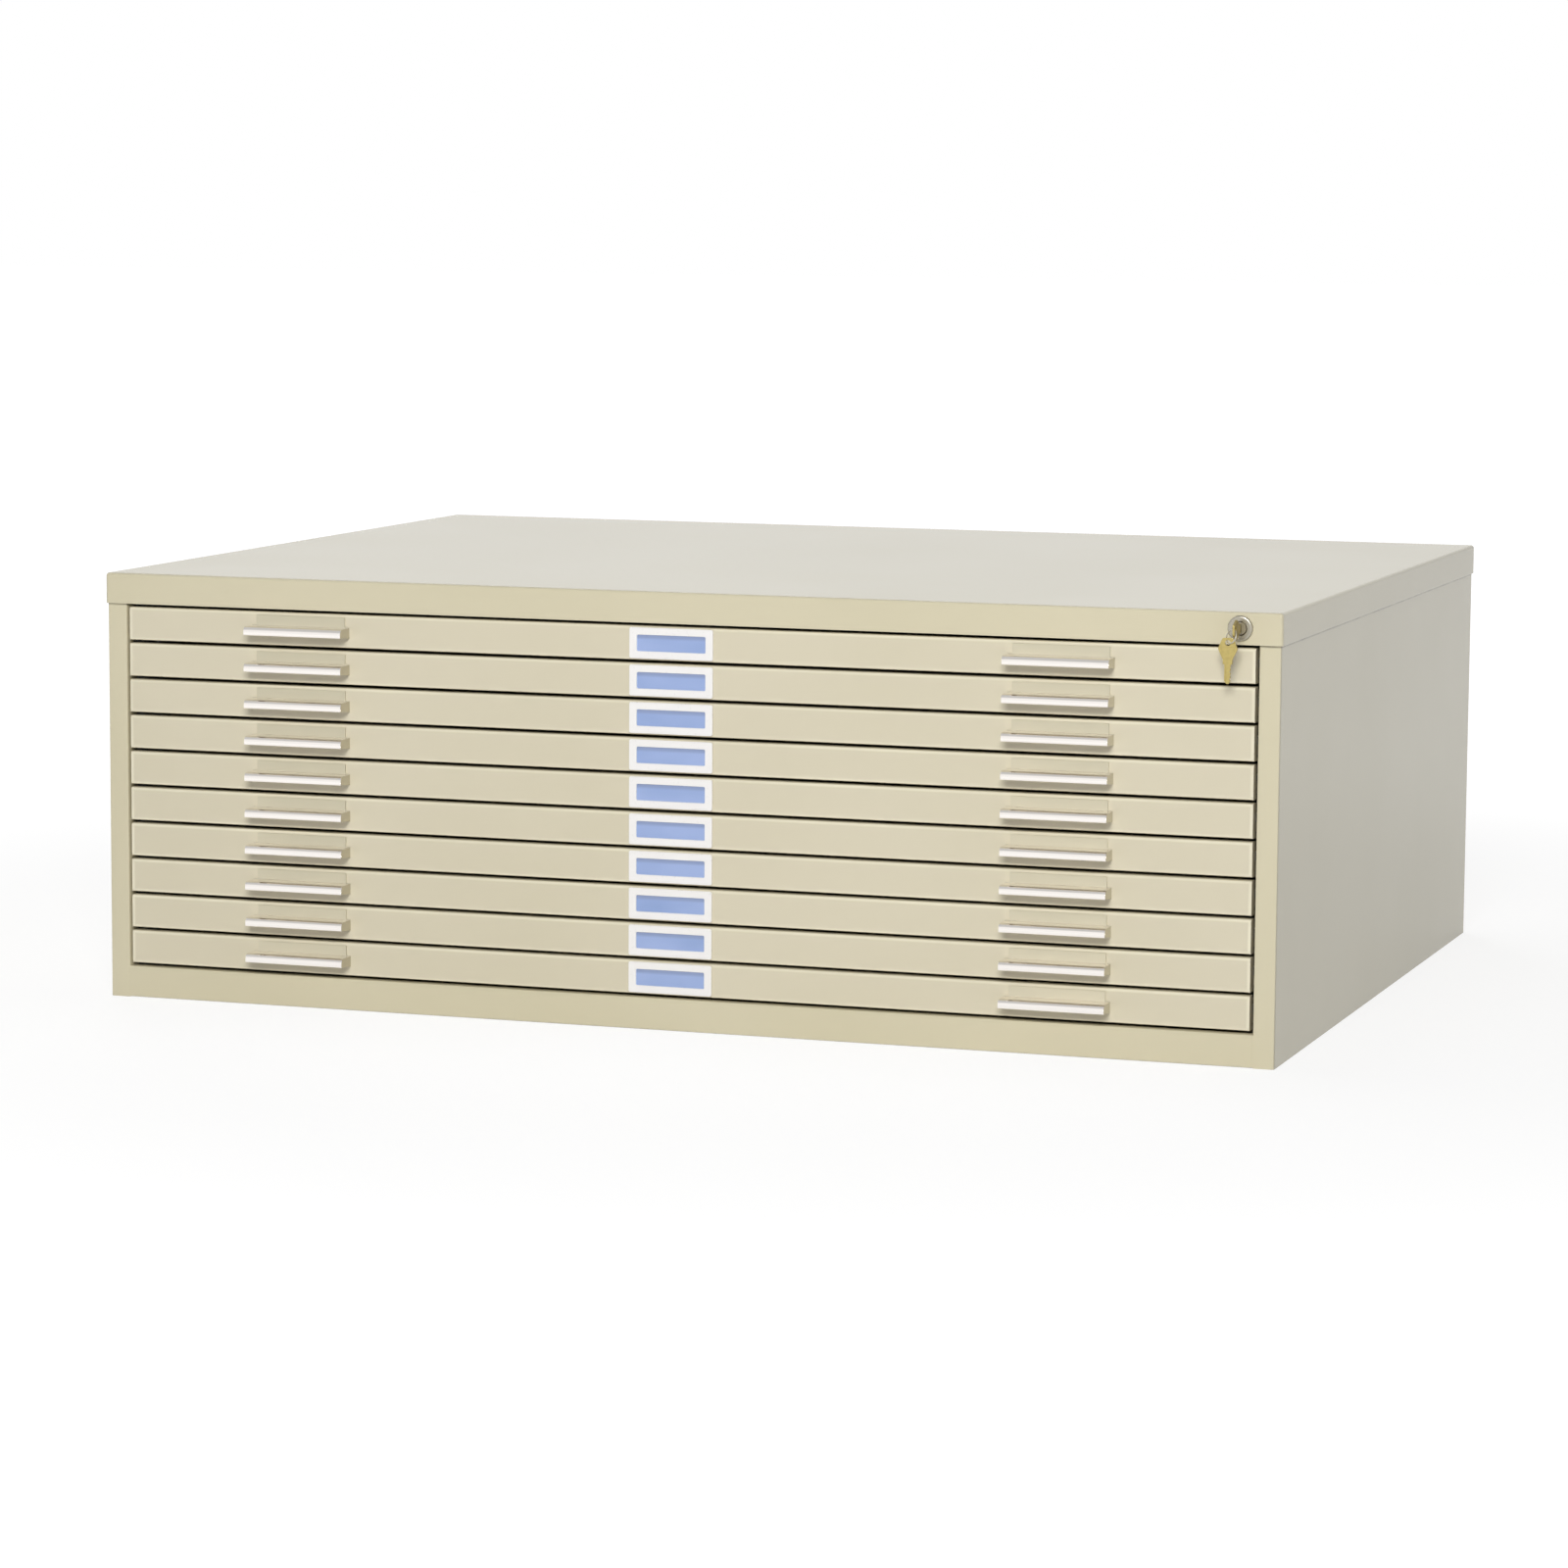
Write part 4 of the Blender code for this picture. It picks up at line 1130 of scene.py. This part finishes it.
@dataclass
class Pull:
    """A drawer pull: a plate on the front, a shelf over the fingers, and a rolled lip between two cheeks."""

    palette: Palette
    sheet: float = 1.4 * MM
    plate_half: float = 46.5 * MM
    # How many points of the sheet's middle line lie on the plate, which is narrower than the shelf
    plate_points: int = 2
    # How far the shelf's top is above the lip
    shelf_rise: float = 8.7 * MM
    nose_radius: float = 4.6 * MM
    root_radius: float = 1.3 * MM
    # How far the lip is rolled back under the nose
    roll: float = 2.2 * MM
    roll_radius: float = 1.1 * MM
    # How far the cheeks reach below the lip
    cheek_drop: float = 1.6 * MM
    steps: int = 7
    edge_mm: float = 0.28
    # How far a face's normal points along X for the face to be a cheek's
    sideways: float = 0.9

    def middle_line(self, reach: float, low: float, shelf: float, high: float) -> Loop:
        """Draws the middle of the sheet from the plate's top to the rolled lip.

        Args:
            reach: How far the nose stands out from the plate's back.
            low: The lip's height.
            shelf: The height of the shelf's top.
            high: The height of the plate's top.

        Returns:
            The line, as (y, z) from the plate's back.
        """
        half = self.sheet / 2
        nose = -reach + half
        corners = [
            (-half, high),
            (-half, shelf - half),
            (nose, shelf - half),
            (nose, low + half),
            (nose + self.roll, low + half),
        ]
        return rounded_path(corners, [self.root_radius, self.nose_radius, self.roll_radius], self.steps)

    def bent_sheet(self, name: str, rows: Sequence[tuple[Point, float, float]]) -> bpy.types.Mesh:
        """Makes the plate, shelf and lip from one bent sheet.

        Args:
            name: The mesh's name.
            rows: For each point of the middle line, the (y, z) point and the sheet's two ends along X.

        Returns:
            The closed mesh.
        """
        work = bmesh.new()
        lines = [[work.verts.new((x, y, z)) for x in (left, right)] for (y, z), left, right in rows]
        for first, second in zip(lines, lines[1:]):
            work.faces.new((first[0], first[1], second[1], second[0]))
        strip = bpy.data.objects.new(name, mesh_from(name, work))
        skin = strip.modifiers.new("sheet", "SOLIDIFY")
        skin.thickness = self.sheet
        skin.offset = 0
        skin.use_even_offset = True
        return baked(strip)

    def build_at(self, drawer: str, side: Side) -> bpy.types.Object:
        """Builds one pull where its solid is.

        Args:
            drawer: The drawer's name.
            side: Which of the drawer's two pulls.

        Returns:
            The pull.
        """
        node = f"{drawer}_{side.word}_pull"
        low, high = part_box(node)
        middle = (low.x + high.x) / 2
        half_width = (high.x - low.x) / 2
        lip_low = low.z + self.cheek_drop
        shelf = lip_low + self.shelf_rise
        path = [(high.y + y, z) for y, z in self.middle_line(high.y - low.y, lip_low, shelf, high.z)]
        halves = [self.plate_half if place < self.plate_points else half_width for place in range(len(path))]
        rows = [(point, middle - half, middle + half) for point, half in zip(path, halves)]
        hood = self.bent_sheet(f"{node}_fine", rows)
        # A cheek follows the sheet round the nose and the roll, and goes back to the front below and above.
        cheek = path[self.steps + 2:-1]
        cheek += [(high.y, lip_low - self.cheek_drop), (high.y, shelf - self.sheet / 2)]
        inner = half_width - self.sheet
        cheeks = [
            slab("cheek", cheek, middle - half_width, middle - inner, ENDWISE),
            slab("cheek", cheek, middle + inner, middle + half_width, ENDWISE),
        ]
        piece = place_piece(
            f"{node}_fine",
            softened(combined(hood, cheeks, Join.ADD), self.edge_mm),
            [self.palette.chrome, self.palette.pull_back, self.palette.nickel],
            drawer,
            [node],
        )
        plate_from = shelf + self.edge_mm * MM
        for face in piece.data.polygons:
            if face.center.z > plate_from:
                face.material_index = PullFace.PLATE.value
            elif abs(face.normal.x) > self.sideways:
                face.material_index = PullFace.CHEEK.value
            else:
                face.material_index = PullFace.SHELF.value
        return piece


@dataclass
class LabelHolder:
    """A label holder: a white pressed frame with a blue card behind its window."""

    palette: Palette
    corner: float = 2.0 * MM
    window_width: float = 68.9 * MM
    window_height: float = 15.7 * MM
    # How far the window's sill is above the frame's foot
    window_lift: float = 6.9 * MM
    window_corner: float = 1.2 * MM
    window_depth: float = 1.5 * MM
    card_sheet: float = 0.25 * MM
    # How far the card's edges stop short of the window's
    card_play: float = 0.15 * MM
    edge_mm: float = 0.45
    edge_facets: int = 3
    steps: int = 6

    def build_at(self, drawer: str) -> None:
        """Builds one holder and its card where the holder's solid is.

        Args:
            drawer: The drawer's name.
        """
        node = f"{drawer}_label_holder"
        low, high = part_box(node)
        rim = rounded_rectangle((low.x, low.z), (high.x, high.z), self.corner, self.steps)
        plate = slab(f"{node}_fine", rim, low.y, high.y, UPRIGHT)
        middle = (low.x + high.x) / 2
        left = middle - self.window_width / 2
        right = middle + self.window_width / 2
        sill = low.z + self.window_lift
        head = sill + self.window_height
        opening = rounded_rectangle((left, sill), (right, head), self.window_corner, self.steps)
        floor = low.y + self.window_depth
        cutter = slab("window", opening, low.y - self.window_depth, floor, UPRIGHT)
        mesh = softened(combined(plate, [cutter], Join.CUT), self.edge_mm, self.edge_facets)
        place_piece(f"{node}_fine", mesh, [self.palette.holder], drawer, [node])
        play = self.card_play
        outline = rounded_rectangle(
            (left + play, sill + play), (right - play, head - play), self.window_corner, self.steps
        )
        card = slab(f"{drawer}_label_card", outline, floor - self.card_sheet, floor, UPRIGHT)
        place_piece(f"{drawer}_label_card", card, [self.palette.card], drawer)


@dataclass
class RailSeams:
    """The enamel that has run into the two seams where the bottom rail meets the stiles."""

    palette: Palette
    # A bead starts this far inside the rail's end, and its width takes it over the seam and into the stile.
    lap: float = 0.15 * MM
    width: float = 2.2 * MM
    # How far behind the rail's face it is, and how thick
    sunk: float = 0.3 * MM
    depth: float = 1.6 * MM
    # How far it stops short of the rail's foot and top
    end_gap: float = 0.4 * MM
    edge_mm: float = 0.15

    def build(self) -> None:
        """Builds the left and the right bead, a little behind the faces."""
        low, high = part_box("bottom_rail")
        near = low.y + self.sunk
        far = near + self.depth
        base = low.z + self.end_gap
        top = high.z - self.end_gap
        start = high.x - self.lap
        for side in Side:
            left, right = sorted((side.value * start, side.value * (start + self.width)))
            loop = [(left, base), (right, base), (right, top), (left, top)]
            name = f"rail_seam_{side.word}"
            bead = softened(slab(name, loop, near, far, UPRIGHT), self.edge_mm)
            place_piece(name, bead, [self.palette.case], "cabinet")


@dataclass
class Rollers:
    """The slides' tyres and axle heads, at the front of each runner and at the back of each drawer."""

    palette: Palette
    # The tyres' inner faces are this far from the middle of the cabinet.
    near: float = 552.75 * MM
    width: float = 8.0 * MM
    front_radius: float = 7.52 * MM
    rear_radius: float = 7.02 * MM
    # Places from the drawer's lowest front corner
    front_setback: float = 50.0 * MM
    front_rise: float = 17.9 * MM
    rear_setback: float = 812.5 * MM
    rear_rise: float = 10.3 * MM
    # How far a tyre covers its solid roller at each end
    cover: float = 0.05 * MM
    shoulder: float = 0.9 * MM
    # The share of the shoulder that its middle point cuts off
    shoulder_cut: float = 0.3
    head_radius: float = 3.0 * MM
    head_rise: float = 0.9 * MM
    # The head's base stands this far off the solid roller, and its root goes this far into the tyre.
    head_gap: float = 0.04 * MM
    head_root: float = 0.5 * MM
    dome_steps: int = 6
    sides: int = 40

    def axle(self, side: Side, y: float, z: float) -> Matrix:
        """The line of an axle: heights are measured outwards along X."""
        return Matrix(((0, 0, side.value, 0), (1, 0, 0, y), (0, 1, 0, z), (0, 0, 0, 1)))

    def tyre(self, name: str, axle: Matrix, radius: float) -> bpy.types.Mesh:
        """Makes a tyre with rounded shoulders.

        Args:
            name: The mesh's name.
            axle: The line that it turns about.
            radius: Its radius.

        Returns:
            The closed mesh.
        """
        start = self.near - self.cover
        end = self.near + self.width + self.cover
        cut = self.shoulder_cut * self.shoulder
        profile = [
            (0, start),
            (radius - self.shoulder, start),
            (radius - cut, start + cut),
            (radius, start + self.shoulder),
            (radius, end - self.shoulder),
            (radius - cut, end - cut),
            (radius - self.shoulder, end),
            (0, end),
        ]
        return turned(name, profile, self.sides, axle)

    def head(self, name: str, axle: Matrix) -> bpy.types.Mesh:
        """Makes the domed rivet head of an axle, on the tyre's inner face.

        Args:
            name: The mesh's name.
            axle: The line that it turns about.

        Returns:
            The closed mesh.
        """
        start = self.near - self.head_gap
        profile = [(0, start - self.head_rise)]
        for step in range(1, self.dome_steps + 1):
            angle = math.pi / 2 * step / self.dome_steps
            profile.append((self.head_radius * math.sin(angle), start - self.head_rise * math.cos(angle)))
        profile.append((0, start + self.head_root))
        return turned(name, profile, self.sides // 2, axle)

    def build_for(self, drawer: str) -> None:
        """Builds the four tyres and heads of one drawer's pair of slides.

        Args:
            drawer: The drawer's name.
        """
        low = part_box(drawer)[0]
        ends = (
            ("front", "cabinet", self.front_setback, self.front_rise, self.front_radius),
            ("rear", drawer, self.rear_setback, self.rear_rise, self.rear_radius),
        )
        for side in Side:
            for end, body, setback, rise, radius in ends:
                name = f"{drawer}_{side.word}_{end}_roller"
                axle = self.axle(side, low.y + setback, low.z + rise)
                place_piece(f"{name}_tyre", self.tyre(name, axle, radius), [self.palette.acetal], body)
                head = self.head(name, axle)
                place_piece(f"{name}_axle_head", head, [self.palette.zinc], body)


@dataclass
class CamLock:
    """The lock's face: a plated bezel round a plug with its keyway."""

    palette: Palette
    bore: float = 6.5 * MM
    bore_edge: float = 0.4 * MM
    bezel_radius: float = 11.65 * MM
    barrel_radius: float = 9.5 * MM
    bezel_thickness: float = 3.2 * MM
    dome: float = 1.6 * MM
    plug_radius: float = 6.2 * MM
    plug_edge: float = 0.5 * MM
    keyway_half: float = 1.2 * MM
    keyway_rise: float = 3.2 * MM
    keyway_depth: float = 17.6 * MM
    keyway_corner: float = 0.4 * MM
    sides: int = 96
    steps: int = 6

    def axis(self, low: Vector, high: Vector) -> Matrix:
        """The line of the lock: heights are measured towards +Y from the face."""
        x, z = (low.x + high.x) / 2, (low.z + high.z) / 2
        return Matrix(((1, 0, 0, x), (0, 0, 1, low.y), (0, 1, 0, z), (0, 0, 0, 1)))

    def housing(self) -> bpy.types.Mesh:
        """Makes the bezel and the barrel behind it.

        Returns:
            The closed mesh.
        """
        low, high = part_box("lock_cylinder")
        length = high.y - low.y
        profile = [(self.bore, length), (self.bore, self.bore_edge), (self.bore + self.bore_edge, 0)]
        profile += arc((self.bezel_radius - self.dome, self.dome), self.dome, 270, 360, self.steps)
        profile += [
            (self.bezel_radius, self.bezel_thickness),
            (self.barrel_radius, self.bezel_thickness),
            (self.barrel_radius, length),
        ]
        return turned("lock_housing", profile, self.sides, self.axis(low, high))

    def plug(self) -> bpy.types.Mesh:
        """Makes the plug and cuts its keyway.

        Returns:
            The closed mesh.
        """
        low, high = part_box("lock_plug")
        line = self.axis(low, high)
        length = high.y - low.y
        edge = self.plug_edge
        profile = [
            (0, 0),
            (self.plug_radius - edge, 0),
            (self.plug_radius, edge),
            (self.plug_radius, length),
            (0, length),
        ]
        core = turned("lock_plug_fine", profile, self.sides, line)
        x, z = line.translation.x, line.translation.z
        slot = rounded_rectangle(
            (x - self.keyway_half, z - self.keyway_rise),
            (x + self.keyway_half, z + self.keyway_rise),
            self.keyway_corner,
            self.steps,
        )
        cutter = slab("keyway", slot, low.y - edge, low.y + self.keyway_depth, UPRIGHT)
        return combined(core, [cutter], Join.CUT)

    def build(self) -> None:
        """Builds the housing and the plug where their solids are."""
        plate = [self.palette.worn_nickel]
        place_piece("lock_housing", self.housing(), plate, "cabinet", ["lock_cylinder"])
        place_piece("lock_plug_fine", self.plug(), plate, "lock_plug", ["lock_plug"])


@dataclass
class Keys:
    """The key in the lock, the split ring through its bow, and the spare key that hangs from the ring."""

    palette: Palette
    thickness: float = 1.8 * MM
    length: float = 41.8 * MM
    # The bow's length. The places along the bow are from its end, where the hole is.
    bow: float = 24.0 * MM
    hole_at: float = 4.5 * MM
    hole_radius: float = 2.7 * MM
    hole_facets: int = 24
    # Half the bow's height at its end, where it is widest and at its neck, and the radius between these
    end_half: float = 4.8 * MM
    corner: float = 2.2 * MM
    bow_half: float = 9.1 * MM
    widest_at: float = 10.0 * MM
    neck_at: float = 20.0 * MM
    neck_half: float = 4.4 * MM
    # Half the blade's height, and its slope to the tip
    blade_half: float = 2.9 * MM
    tip_half: float = 1.0 * MM
    tip_length: float = 2.6 * MM
    # The bitting: every second cut has the full depth, and the others half of it.
    cuts: int = 4
    cut_start: float = 2.2 * MM
    cut_pitch: float = 3.4 * MM
    cut_width: float = 2.4 * MM
    cut_depth: float = 1.2 * MM
    # A groove in each face of the blade, from this far past the shoulder to the tip
    groove_setback: float = 1.0 * MM
    groove_width: float = 1.1 * MM
    groove_depth: float = 0.45 * MM
    # Where the right face's groove and the left face's one start, from the blade's middle up
    groove_lows: Point = (-1.9 * MM, -0.3 * MM)
    # The panel struck into each face of the bow, from the hole, the rim and the neck
    panel_depth: float = 0.25 * MM
    panel_gap: float = 1.2 * MM
    panel_rim: float = 2.6 * MM
    panel_inset: float = 1.5 * MM
    ring_radius: float = 6.5 * MM
    ring_wire: float = 0.37 * MM
    ring_sides: int = 72
    wire_sides: int = 10
    # Where the ring's two ends lie, turned from straight down
    ends_at_deg: float = 40.0
    # The wire goes from one layer to the other in this part of its length: the middle sixth.
    crossing: float = 1 / 6
    # How far each layer is from the ring's middle plane, in radii of the wire
    layer: float = 1.02
    steps: int = 6
    edge_mm: float = 0.22

    def outline(self) -> Loop:
        """Draws the key's outline about its hole.

        Returns:
            The outline: (y towards the tip, z).
        """
        shoulder = self.bow - self.hole_at
        tip = self.length - self.hole_at
        corners = [
            (-self.hole_at, 0),
            (-self.hole_at, self.end_half),
            (self.widest_at - self.hole_at, self.bow_half),
            (self.neck_at - self.hole_at, self.neck_half),
            (shoulder, self.neck_half),
        ]
        side = rounded_path(corners, [self.corner] * (len(corners) - 2), self.steps)[1:]
        side.append((shoulder, self.blade_half))
        ends = [(tip - self.tip_length, self.blade_half), (tip, self.tip_half)]
        bitting = []
        for number in range(self.cuts):
            start = shoulder + self.cut_start + number * self.cut_pitch
            floor = self.blade_half - self.cut_depth * (1 + number % 2) / 2
            third = self.cut_width / 3
            bitting += [
                (start, self.blade_half),
                (start + third, floor),
                (start + 2 * third, floor),
                (start + self.cut_width, self.blade_half),
            ]
        return side + bitting + ends + [(y, -z) for y, z in reversed(side + ends)]

    def into_faces(self, depth: float) -> list[Point]:
        """From where to where a cut of this depth reaches along X, in the right face and in the left one."""
        half = self.thickness / 2
        return [(half - depth, 2 * half), (-2 * half, depth - half)]

    def blank(self, name: str) -> bpy.types.Mesh:
        """Makes one key about its hole, its blade towards +Y, with a struck bow and a grooved blade.

        Args:
            name: The mesh's name.

        Returns:
            The closed mesh.
        """
        half = self.thickness / 2
        body = slab(name, self.outline(), -half, half, ENDWISE)
        last_deg = 360 - 360 / self.hole_facets
        circle = arc((0, 0), self.hole_radius, 0, last_deg, self.hole_facets - 1)
        cutters = [slab("hole", circle, -2 * half, 2 * half, ENDWISE)]
        start = self.bow - self.hole_at + self.groove_setback
        end = self.length
        for low, (near, far) in zip(self.groove_lows, self.into_faces(self.groove_depth)):
            top = low + self.groove_width
            groove = [(start, low), (end, low), (end, top), (start, top)]
            cutters.append(slab("groove", groove, near, far, ENDWISE))
        for near, far in self.into_faces(self.panel_depth):
            cutters.append(slab("panel", self.struck_panel(), near, far, ENDWISE))
        return softened(combined(body, cutters, Join.CUT), self.edge_mm)

    def struck_panel(self) -> Loop:
        """Draws the shallow panel that the die strikes into each face of the bow.

        Returns:
            The panel's outline, as (y, z) from the hole.
        """
        start = self.hole_radius + self.panel_gap
        end = self.neck_at - self.hole_at - self.panel_inset
        start_half = self.bow_half - self.panel_rim
        end_half = self.neck_half - self.panel_inset
        return [(start, -start_half), (end, -end_half), (end, end_half), (start, start_half)]

    def split_ring(self, hole: Vector, hang: Vector) -> bpy.types.Mesh:
        """Makes two turns of spring wire that lie side by side, with their ends lapped.

        Args:
            hole: The middle of the key's hole.
            hang: The middle of the spare key's hole.

        Returns:
            The ring.
        """
        across = hang - hole
        centre = (hole + hang) / 2
        down = across.normalized()
        # The ring's plane holds the line between the holes, and stands half way between the keys' planes.
        along = Vector((1, -1, (across.y - across.x) / across.z)).normalized()
        normal = along.cross(down).normalized()
        side = normal.cross(down)
        wire = arc((0, 0), self.ring_wire, 0, 360 - 360 / self.wire_sides, self.wire_sides - 1)
        work = bmesh.new()
        rings = []
        turns = 2 * self.ring_sides
        for step in range(turns + 1):
            angle = math.tau * step / self.ring_sides + math.radians(self.ends_at_deg)
            out = down * math.cos(angle) + side * math.sin(angle)
            crossed = max(-1.0, min(1.0, (2 * step / turns - 1) / self.crossing))
            middle = centre + out * self.ring_radius + normal * (crossed * self.ring_wire * self.layer)
            rings.append([work.verts.new(middle + out * away + normal * over) for away, over in wire])
        for first, second in zip(rings, rings[1:]):
            for here in range(self.wire_sides):
                following = (here + 1) % self.wire_sides
                work.faces.new((first[here], first[following], second[following], second[here]))
        work.faces.new(rings[0])
        work.faces.new(list(reversed(rings[-1])))
        return mesh_from("split_ring", work)

    def build(self) -> None:
        """Builds the key, the ring and the spare key where their solids are."""
        brass = [self.palette.brass]
        low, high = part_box("key")
        hole = Vector(((low.x + high.x) / 2, low.y + self.hole_at, (low.z + high.z) / 2))
        key = self.blank("key_fine")
        key.transform(Matrix.Translation(hole))
        place_piece("key_fine", key, brass, "key", ["key"])
        low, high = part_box("spare_key")
        hang = Vector(((low.x + high.x) / 2, (low.y + high.y) / 2, high.z - self.hole_at))
        spare = self.blank("spare_key_fine")
        spare.transform(Matrix.Translation(hang) @ HANGING)
        place_piece("spare_key_fine", spare, brass, "spare_key", ["spare_key"])
        ring = self.split_ring(hole, hang)
        place_piece("split_ring", ring, [self.palette.nickel], "key_ring", ["key_ring"])


@dataclass(frozen=True)
class SoftBox:
    """A soft lamp: its name, where it stands, its width and height, and its power."""

    name: str
    place: Place
    size: Point
    watts: float
    # Whether glossy surfaces show it
    mirrored: bool = False


@dataclass
class Studio:
    """The white paper, the soft lamps and the camera."""

    # The camera was solved from the corners of the case in the photograph.
    camera_place: Place = (1.62085, -4.91365, 0.8209)
    camera_turn_deg: Place = (18.66, -7.0, -0.36)
    focal_pixels: float = 5161.8
    image_pixels: float = 1600.0
    sensor_mm: float = 36.0
    # How far the camera sees, in metres
    sees_to: float = 100.0
    room_level: float = 0.17
    # What the camera, metal and glass see of the room darkens to this level overhead, between these
    # upward parts of the direction that they look in.
    ceiling_level: float = 0.6
    ceiling_from: float = 0.45
    ceiling_to: float = 0.85
    floor_half: float = 30.0
    floor_drop: float = 0.2 * MM
    lamps_aim: Place = (0, 0, 0.2)
    lamps: tuple[SoftBox, ...] = (
        SoftBox("front_box", place=(1.3, -5.25, 2.6), size=(2.0, 1.4), watts=207, mirrored=True),
        SoftBox("back_box", place=(-2.6, 4.2, 1.0), size=(2.4, 1.6), watts=130),
        SoftBox("top_box", place=(-0.4, 0.5, 3.6), size=(2.4, 2.0), watts=24),
    )

    def camera(self) -> None:
        """Makes the camera: yaw about Z, then pitch about X, then roll about the view."""
        yaw, pitch, roll = (math.radians(angle) for angle in self.camera_turn_deg)
        turn = Matrix.Rotation(yaw, 4, "Z") @ Matrix.Rotation(pitch, 4, "X") @ Matrix.Rotation(roll, 4, "Y")
        data = bpy.data.cameras.new("camera")
        data.sensor_width = self.sensor_mm
        data.lens = self.focal_pixels / self.image_pixels * self.sensor_mm
        data.clip_end = self.sees_to
        camera = bpy.data.objects.new("camera", data)
        camera.matrix_world = (
            Matrix.Translation(self.camera_place) @ turn @ Matrix.Rotation(math.pi / 2, 4, "X")
        )
        bpy.context.scene.collection.objects.link(camera)
        bpy.context.scene.camera = camera

    def lamp(self, box: SoftBox) -> None:
        """Adds a lamp.

        Args:
            box: The lamp's values.
        """
        data = bpy.data.lights.new(box.name, "AREA")
        data.shape = "RECTANGLE"
        data.size, data.size_y = box.size
        data.energy = box.watts
        data.color = linear(Tone.WHITE)[:3]
        lamp = bpy.data.objects.new(box.name, data)
        lamp.location = box.place
        lamp.rotation_euler = (Vector(self.lamps_aim) - Vector(box.place)).to_track_quat("-Z", "Y").to_euler()
        lamp.visible_camera = False
        lamp.visible_glossy = box.mirrored
        bpy.context.scene.collection.objects.link(lamp)

    def world(self) -> None:
        """Makes the room: white with a darker ceiling for camera, metal and glass, and dim for the rest."""
        world = bpy.data.worlds.new("studio")
        world.use_nodes = True
        bpy.context.scene.world = world
        tree = world.node_tree
        room = tree.nodes["Background"]
        room.inputs["Color"].default_value = linear(Tone.WHITE)
        room.inputs["Strength"].default_value = self.room_level
        place = add_node(tree, "ShaderNodeTexCoord")
        axes = add_node(tree, "ShaderNodeSeparateXYZ", inputs={"Vector": place.outputs["Generated"]})
        ceiling = add_node(
            tree,
            "ShaderNodeMapRange",
            {"interpolation_type": "SMOOTHSTEP"},
            {
                "Value": axes.outputs["Z"],
                "From Min": self.ceiling_from,
                "From Max": self.ceiling_to,
                "To Min": 1.0,
                "To Max": self.ceiling_level,
            },
        )
        backdrop = add_node(
            tree,
            "ShaderNodeBackground",
            inputs={"Color": linear(Tone.WHITE), "Strength": ceiling.outputs["Result"]},
        )
        add_node(
            tree,
            "ShaderNodeMixShader",
            inputs={
                "Fac": seen_by_eye(tree),
                1: room.outputs["Background"],
                2: backdrop.outputs["Background"],
            },
            feeds={"Shader": tree.nodes["World Output"].inputs["Surface"]},
        )

    def floor(self) -> None:
        """Lays the paper just under the cabinet."""
        reach = self.floor_half
        work = bmesh.new()
        corners = [(-reach, -reach), (reach, -reach), (reach, reach), (-reach, reach)]
        work.faces.new([work.verts.new((x, y, -self.floor_drop)) for x, y in corners])
        mesh = mesh_from("paper_floor", work)
        # Seamless white paper: it runs into the white room without an edge, and keeps a pale soft shadow.
        paper = StudioPaper("seamless_white_paper", Tone.PAPER_WHITE, roughness=0.9)
        mesh.materials.append(paper.build())
        floor = bpy.data.objects.new("paper_floor", mesh)
        bpy.context.scene.collection.objects.link(floor)

    def build(self) -> None:
        """Sets up everything round the object."""
        self.camera()
        self.world()
        self.floor()
        for box in self.lamps:
            self.lamp(box)
        bpy.context.scene.view_settings.view_transform = "Standard"
        LOG.info("studio ready")


def main() -> None:
    """Builds the cabinet's pieces in order, then the studio."""
    logging.basicConfig(level=logging.INFO, format="%(name)s: %(message)s")
    palette = Palette.mixed()
    pull = Pull(palette)
    holder = LabelHolder(palette)
    rollers = Rollers(palette)
    for number in range(1, DRAWERS + 1):
        drawer = f"drawer_{number:02d}"
        for side in Side:
            pull.build_at(drawer, side)
        holder.build_at(drawer)
        rollers.build_for(drawer)
    RailSeams(palette).build()
    CamLock(palette).build()
    Keys(palette).build()
    SheetSolids(palette).dress()
    Studio().build()


if __name__ == "__main__":
    main()
